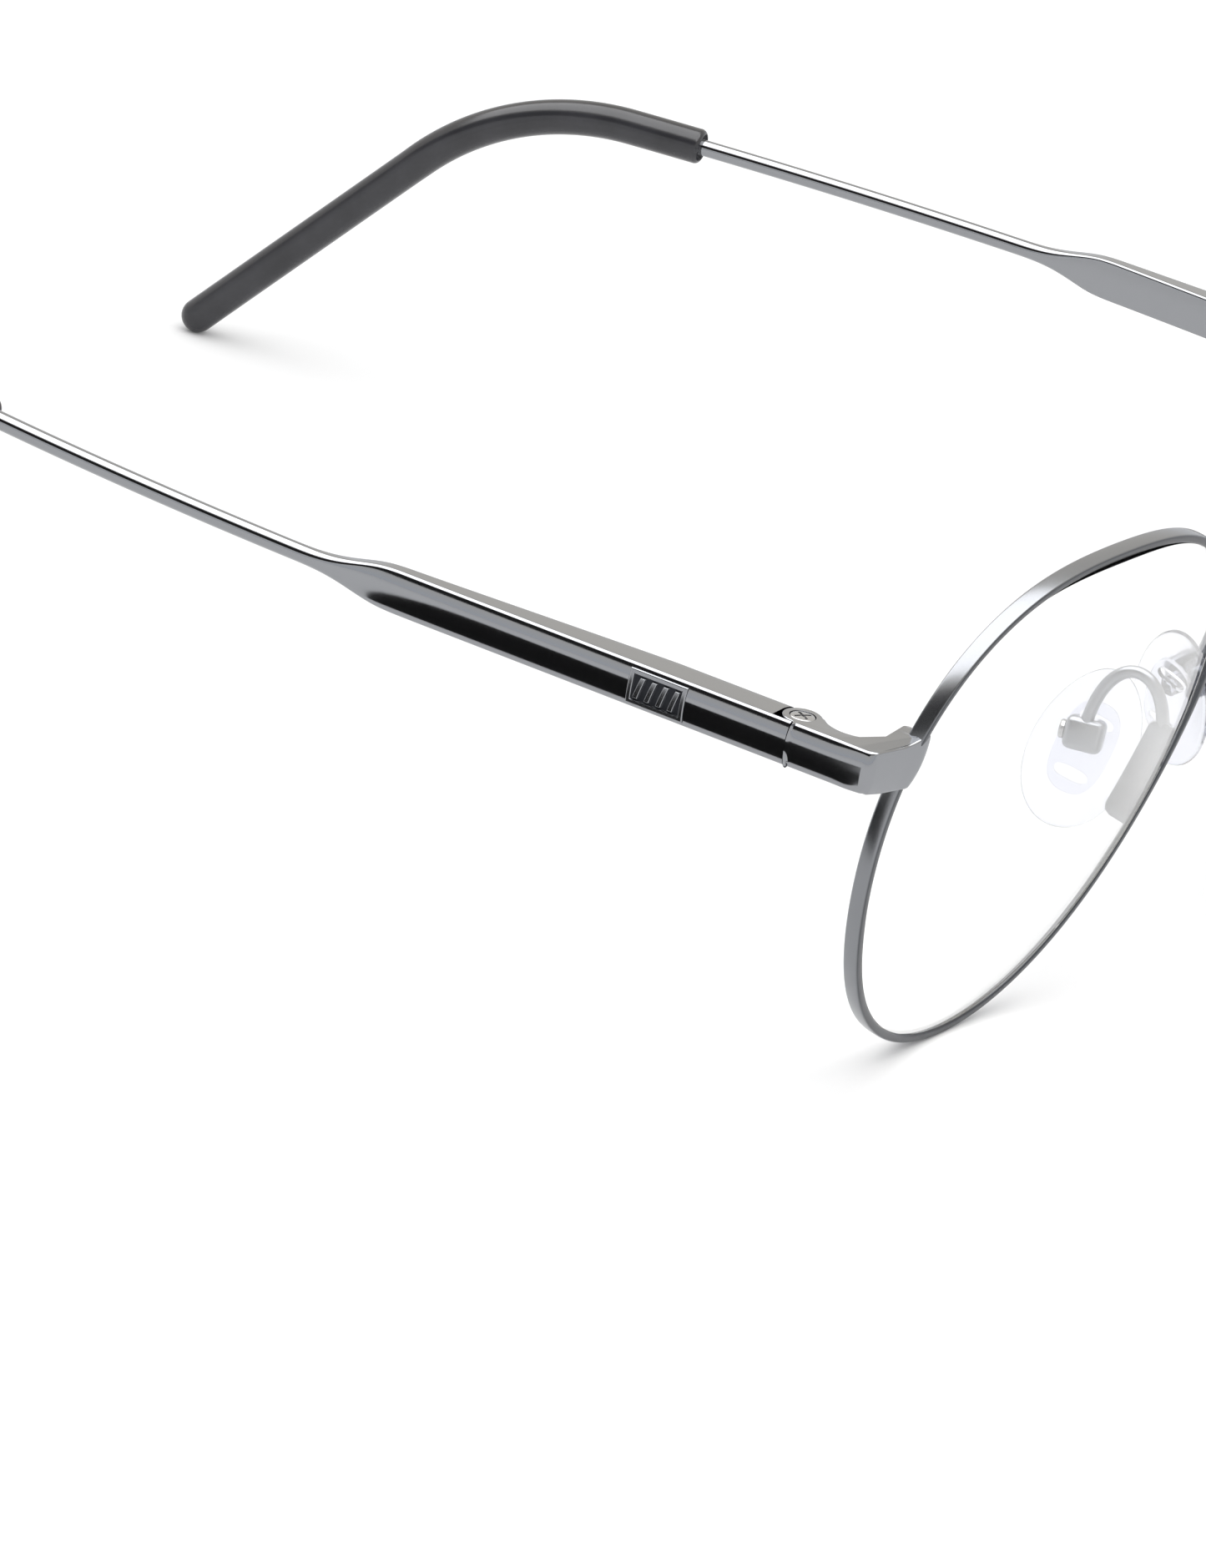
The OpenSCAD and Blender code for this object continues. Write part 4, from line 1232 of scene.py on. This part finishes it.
class EYEGLASSES_OT_nose_pads(bpy.types.Operator):
    """Builds each silicone pad and the insert moulded into it"""
    bl_idname = "eyeglasses.nose_pads"
    bl_label = "Nose pads"

    def execute(self, context):
        axes = PadAxes(context.scene.glasses_pads)
        s = axes.s
        for pad in make_pair([pad_shell(axes)], "nose_pad", "{side}_pad_unit",
                             finish("silicone")):
            pad.visible_shadow = False
        mid = -s.stand - s.thick / 2
        plate = insert_grid(axes, mid - 0.3, mid + 0.3)
        neck = [box_between((mid, -0.6, -0.7), (-0.5, 0.6, 0.7), 0.2)]
        boss = [along_screw(0.95, -0.75, 0.75)]
        windows = [insert_grid(axes, mid - 2, mid + 2, middle, 0.55, 1.5) for middle in (-2.4, 2.4)]
        make_pair([Shell(axes.place(axes.lean(plate)))], "pad_insert", "{side}_pad_unit",
                  finish("insert"), [Shell(axes.place(axes.lean(g))) for g in windows])
        extra_insert(axes, neck + boss)
        return {"FINISHED"}


def extra_insert(axes, grids):
    """The insert's neck and boss, as a second piece of the same insert."""
    left = new_mesh("left_pad_boss_surface", *merged([Shell(axes.place(g)) for g in grids]))
    pair = {"left": left, "right": twin(left, "right_pad_boss_surface")}
    for side in SIDES:
        piece = pair[side]
        piece.data.materials.append(finish("insert"))
        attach(piece, f"{side}_pad_unit")


class EYEGLASSES_OT_screws(bpy.types.Operator):
    """Builds the hinge screws with their cross recess and the slotted pad screws"""
    bl_idname = "eyeglasses.screws"
    bl_label = "Screws"

    def execute(self, context):
        f = front()
        top = f.s.blade_h / 2
        profile = [(0, -top), (0.5, -top), (SCREW_R, -top + 0.06), (SCREW_R, top - 0.55), (0.95, top - 0.5),
                   (SCREW_HEAD_R, top - 0.4), (SCREW_HEAD_R, top - 0.1), (0.99, top - 0.04), (0.9, top),
                   (0.5, top + 0.03), (0, top + 0.04)]
        body = Shell(turned(profile) + HINGE, caps=False)
        cross = [Shell(box_between((-x, -y, top - 0.2), (x, y, top + 1), 0.03) @ rotation("Z", 35).T + HINGE)
                 for x, y in ((0.72, 0.12), (0.12, 0.72))]
        make_pair([body], "hinge_screw", "front", finish("steel"), cross)
        axes = PadAxes(context.scene.glasses_pads)
        quarter = rotation("X", -90)
        profile = [(0, -1.6), (0.4, -1.6), (0.4, 1.62), (0.72, 1.62), (0.8, 1.7), (0.8, 1.95), (0.7, 2.08),
                   (0.3, 2.14), (0, 2.15)]
        body = Shell(axes.place(turned(profile) @ quarter.T), caps=False)
        slot = Shell(axes.place(box_between((-0.12, 1.9, -2), (0.12, 3, 2), 0.02)))
        make_pair([body], "pad_screw", "front", finish("steel"), [slot])
        return {"FINISHED"}


class EYEGLASSES_OT_fittings(bpy.types.Operator):
    """Gives the frame's own hidden fittings their finish"""
    bl_idname = "eyeglasses.fittings"
    bl_label = "Hidden fittings"

    def execute(self, context):
        for side in SIDES:
            for node, kind in (("rim_lock_upper", "satin"), ("rim_lock_lower", "satin"),
                               ("rim_lock_screw", "steel"), ("temple_knuckle", "steel")):
                mesh = frame["nodes"][f"{side}_{node}"].data
                mesh.materials.clear()
                mesh.materials.append(finish(kind))
        return {"FINISHED"}


# ---------------------------------------------------------------- studio

def level_card(name, plan, height, strength):
    """A level studio card over a plan, which shows only in reflections."""
    corners = np.column_stack([plan, np.full(len(plan), height)])
    mesh = bpy.data.meshes.new(name)
    mesh.from_pydata((corners * MM).tolist(), [], [tuple(range(len(plan)))])
    card = bpy.data.objects.new(name, mesh)
    bpy.context.scene.collection.objects.link(card)
    material, shader, *_ = new_material(name)
    shader.inputs["Base Color"].default_value = (0, 0, 0, 1)
    shader.inputs["Roughness"].default_value = 1
    shader.inputs["Specular IOR Level"].default_value = 0
    shader.inputs["Emission Color"].default_value = (1, 1, 1, 1)
    shader.inputs["Emission Strength"].default_value = strength
    mesh.materials.append(material)
    for rays in ("camera", "diffuse", "shadow", "transmission", "volume_scatter"):
        setattr(card, f"visible_{rays}", False)


def oblong(x0, x1, y0, y1):
    """The corners of a rectangle."""
    return np.array([(x0, y0), (x1, y0), (x1, y1), (x0, y1)], float)


def floor_material(base):
    """Pale matt studio floor with the faintest mottle."""
    material, shader, t, where = new_material("studio_floor")
    cloud = t.noise(where, 14.0, 2.0)
    t.join(t.blend(cloud, base, tuple(0.99 * c for c in base)), shader.inputs["Base Color"])
    shader.inputs["Roughness"].default_value = 0.9
    shader.inputs["Specular IOR Level"].default_value = 0.1
    return material


def set_world():
    """Even white studio walls; in reflections they are cool at the horizon and warm above."""
    world = bpy.data.worlds.new("studio")
    world.use_nodes = True
    bpy.context.scene.world = world
    t = Tree(world.node_tree)
    way = t.add("SeparateXYZ")
    t.join(t.add("TexCoord").outputs["Generated"], way.inputs[0])
    height = t.add("MapRange")
    t.join(way.outputs["Z"], height.inputs["Value"])
    height.inputs["From Max"].default_value = 0.35
    walls = t.blend(height.outputs[0], (0.92, 0.95, 1.0), (1.0, 0.965, 0.90))
    back = world.node_tree.nodes["Background"]
    mirror = t.add("LightPath").outputs["Is Glossy Ray"]
    t.join(t.blend(mirror, (1.0, 1.0, 1.0), walls), back.inputs["Color"])


def area_light(name, place, aim, width, depth, power):
    """A soft box at place, turned to aim at a point."""
    light = bpy.data.lights.new(name, "AREA")
    light.shape = "RECTANGLE"
    light.size, light.size_y = width, depth
    light.energy = power
    lamp = bpy.data.objects.new(name, light)
    bpy.context.scene.collection.objects.link(lamp)
    lamp.location = place
    lamp.rotation_euler = (Vector(aim) - Vector(place)).to_track_quat("-Z", "Y").to_euler()
    return lamp


def set_camera():
    """The camera stands outside and ahead of the wearer's right lens, above it, leaning a little."""
    azimuth, elevation, roll = np.radians([-63.958, 21.774, 11.096])
    f = front()
    eye = f.origin + np.array([-f.eye_x, 0, 0])
    place = eye + np.array([-603.485, -257.98, 254.459])
    level = np.cos(elevation)
    back = np.array([np.sin(azimuth) * level, -np.cos(azimuth) * level, np.sin(elevation)])
    right = np.array([np.cos(azimuth), np.sin(azimuth), 0])
    up = np.cross(back, right)
    across = np.cos(roll) * right + np.sin(roll) * up
    above = -np.sin(roll) * right + np.cos(roll) * up
    data = bpy.data.cameras.new("camera")
    data.lens = 203.92
    data.sensor_width = 36
    data.clip_start, data.clip_end = 0.01, 20
    camera = bpy.data.objects.new("camera", data)
    bpy.context.scene.collection.objects.link(camera)
    turn = Matrix(np.column_stack([across, above, back]).tolist())
    camera.matrix_world = Matrix.Translation(Vector(place * MM)) @ turn.to_4x4()
    bpy.context.scene.camera = camera


class EYEGLASSES_OT_stage(bpy.types.Operator):
    """Sets the floor, studio light and camera"""
    bl_idname = "eyeglasses.stage"
    bl_label = "Studio"

    def execute(self, context):
        reach = 1500.0
        points = np.array([(-reach, -reach, 0), (reach, -reach, 0), (reach, reach, 0), (-reach, reach, 0)])
        mesh = bpy.data.meshes.new("studio_floor")
        mesh.from_pydata((points * MM).tolist(), [], [(0, 1, 2, 3)])
        floor = bpy.data.objects.new("studio_floor", mesh)
        context.scene.collection.objects.link(floor)
        mesh.materials.append(floor_material(tuple(context.scene.glasses_finishes.floor)))
        level_card("overhead_strip", oblong(-560, 420, -700, 1200), 800, 4.2)
        for side, name in ((-1, "right"), (1, "left")):
            x = HINGE[0] + 2
            blade = np.array([(x + 18, -49.8), (x + 50, -39), (x + 85, -24.6), (x + 150, 1.5),
                              (x + 150, 45), (x + 18, 2)])
            level_card(f"{name}_floor_card", blade * (side, 1), 1, 0.02)
            if side < 0:
                level_card(f"{name}_ceiling_card", oblong(-2100, -556, -900, 2200), 600, 0.03)
        lamp = area_light("overhead_softbox", (-0.1, 0.1, 0.9), (0, 0, 0), 0.9, 0.9, 2.2)
        lamp.visible_glossy = False
        set_world()
        set_camera()
        context.scene.view_settings.view_transform = "Standard"
        return {"FINISHED"}


class EYEGLASSES_PT_panel(bpy.types.Panel):
    """Lists the steps and the sizes"""
    bl_idname = "EYEGLASSES_PT_panel"
    bl_label = "Eyeglasses"
    bl_space_type = "VIEW_3D"
    bl_region_type = "UI"
    bl_category = "Eyeglasses"

    def draw(self, context):
        for operator in OPERATORS:
            self.layout.operator(operator.bl_idname)
        for name in SETTINGS:
            group = getattr(context.scene, name)
            box = self.layout.box()
            for key in group.__annotations__:
                box.prop(group, key)


OPERATORS = (
    EYEGLASSES_OT_stage, EYEGLASSES_OT_rims, EYEGLASSES_OT_lenses, EYEGLASSES_OT_bridge,
    EYEGLASSES_OT_endpieces, EYEGLASSES_OT_temples, EYEGLASSES_OT_badges, EYEGLASSES_OT_tips,
    EYEGLASSES_OT_pad_arms, EYEGLASSES_OT_pad_boxes, EYEGLASSES_OT_nose_pads, EYEGLASSES_OT_screws,
    EYEGLASSES_OT_fittings,
)
SETTINGS = {
    "glasses_front": FrontSizes, "glasses_temples": TempleSizes, "glasses_pads": PadSizes,
    "glasses_finishes": Finishes,
}


def register():
    """Registers the classes and gives each group of sizes its place in the scene."""
    for cls in (*SETTINGS.values(), *OPERATORS, EYEGLASSES_PT_panel):
        bpy.utils.register_class(cls)
    for name, cls in SETTINGS.items():
        setattr(bpy.types.Scene, name, PointerProperty(type=cls))


def unregister():
    """Takes back what register did."""
    for name in SETTINGS:
        delattr(bpy.types.Scene, name)
    for cls in reversed((*SETTINGS.values(), *OPERATORS, EYEGLASSES_PT_panel)):
        bpy.utils.unregister_class(cls)


def main():
    """Builds every piece in turn."""
    register()
    for operator in OPERATORS:
        getattr(bpy.ops.eyeglasses, operator.bl_idname.split(".")[1])()


if __name__ == "__main__":
    main()
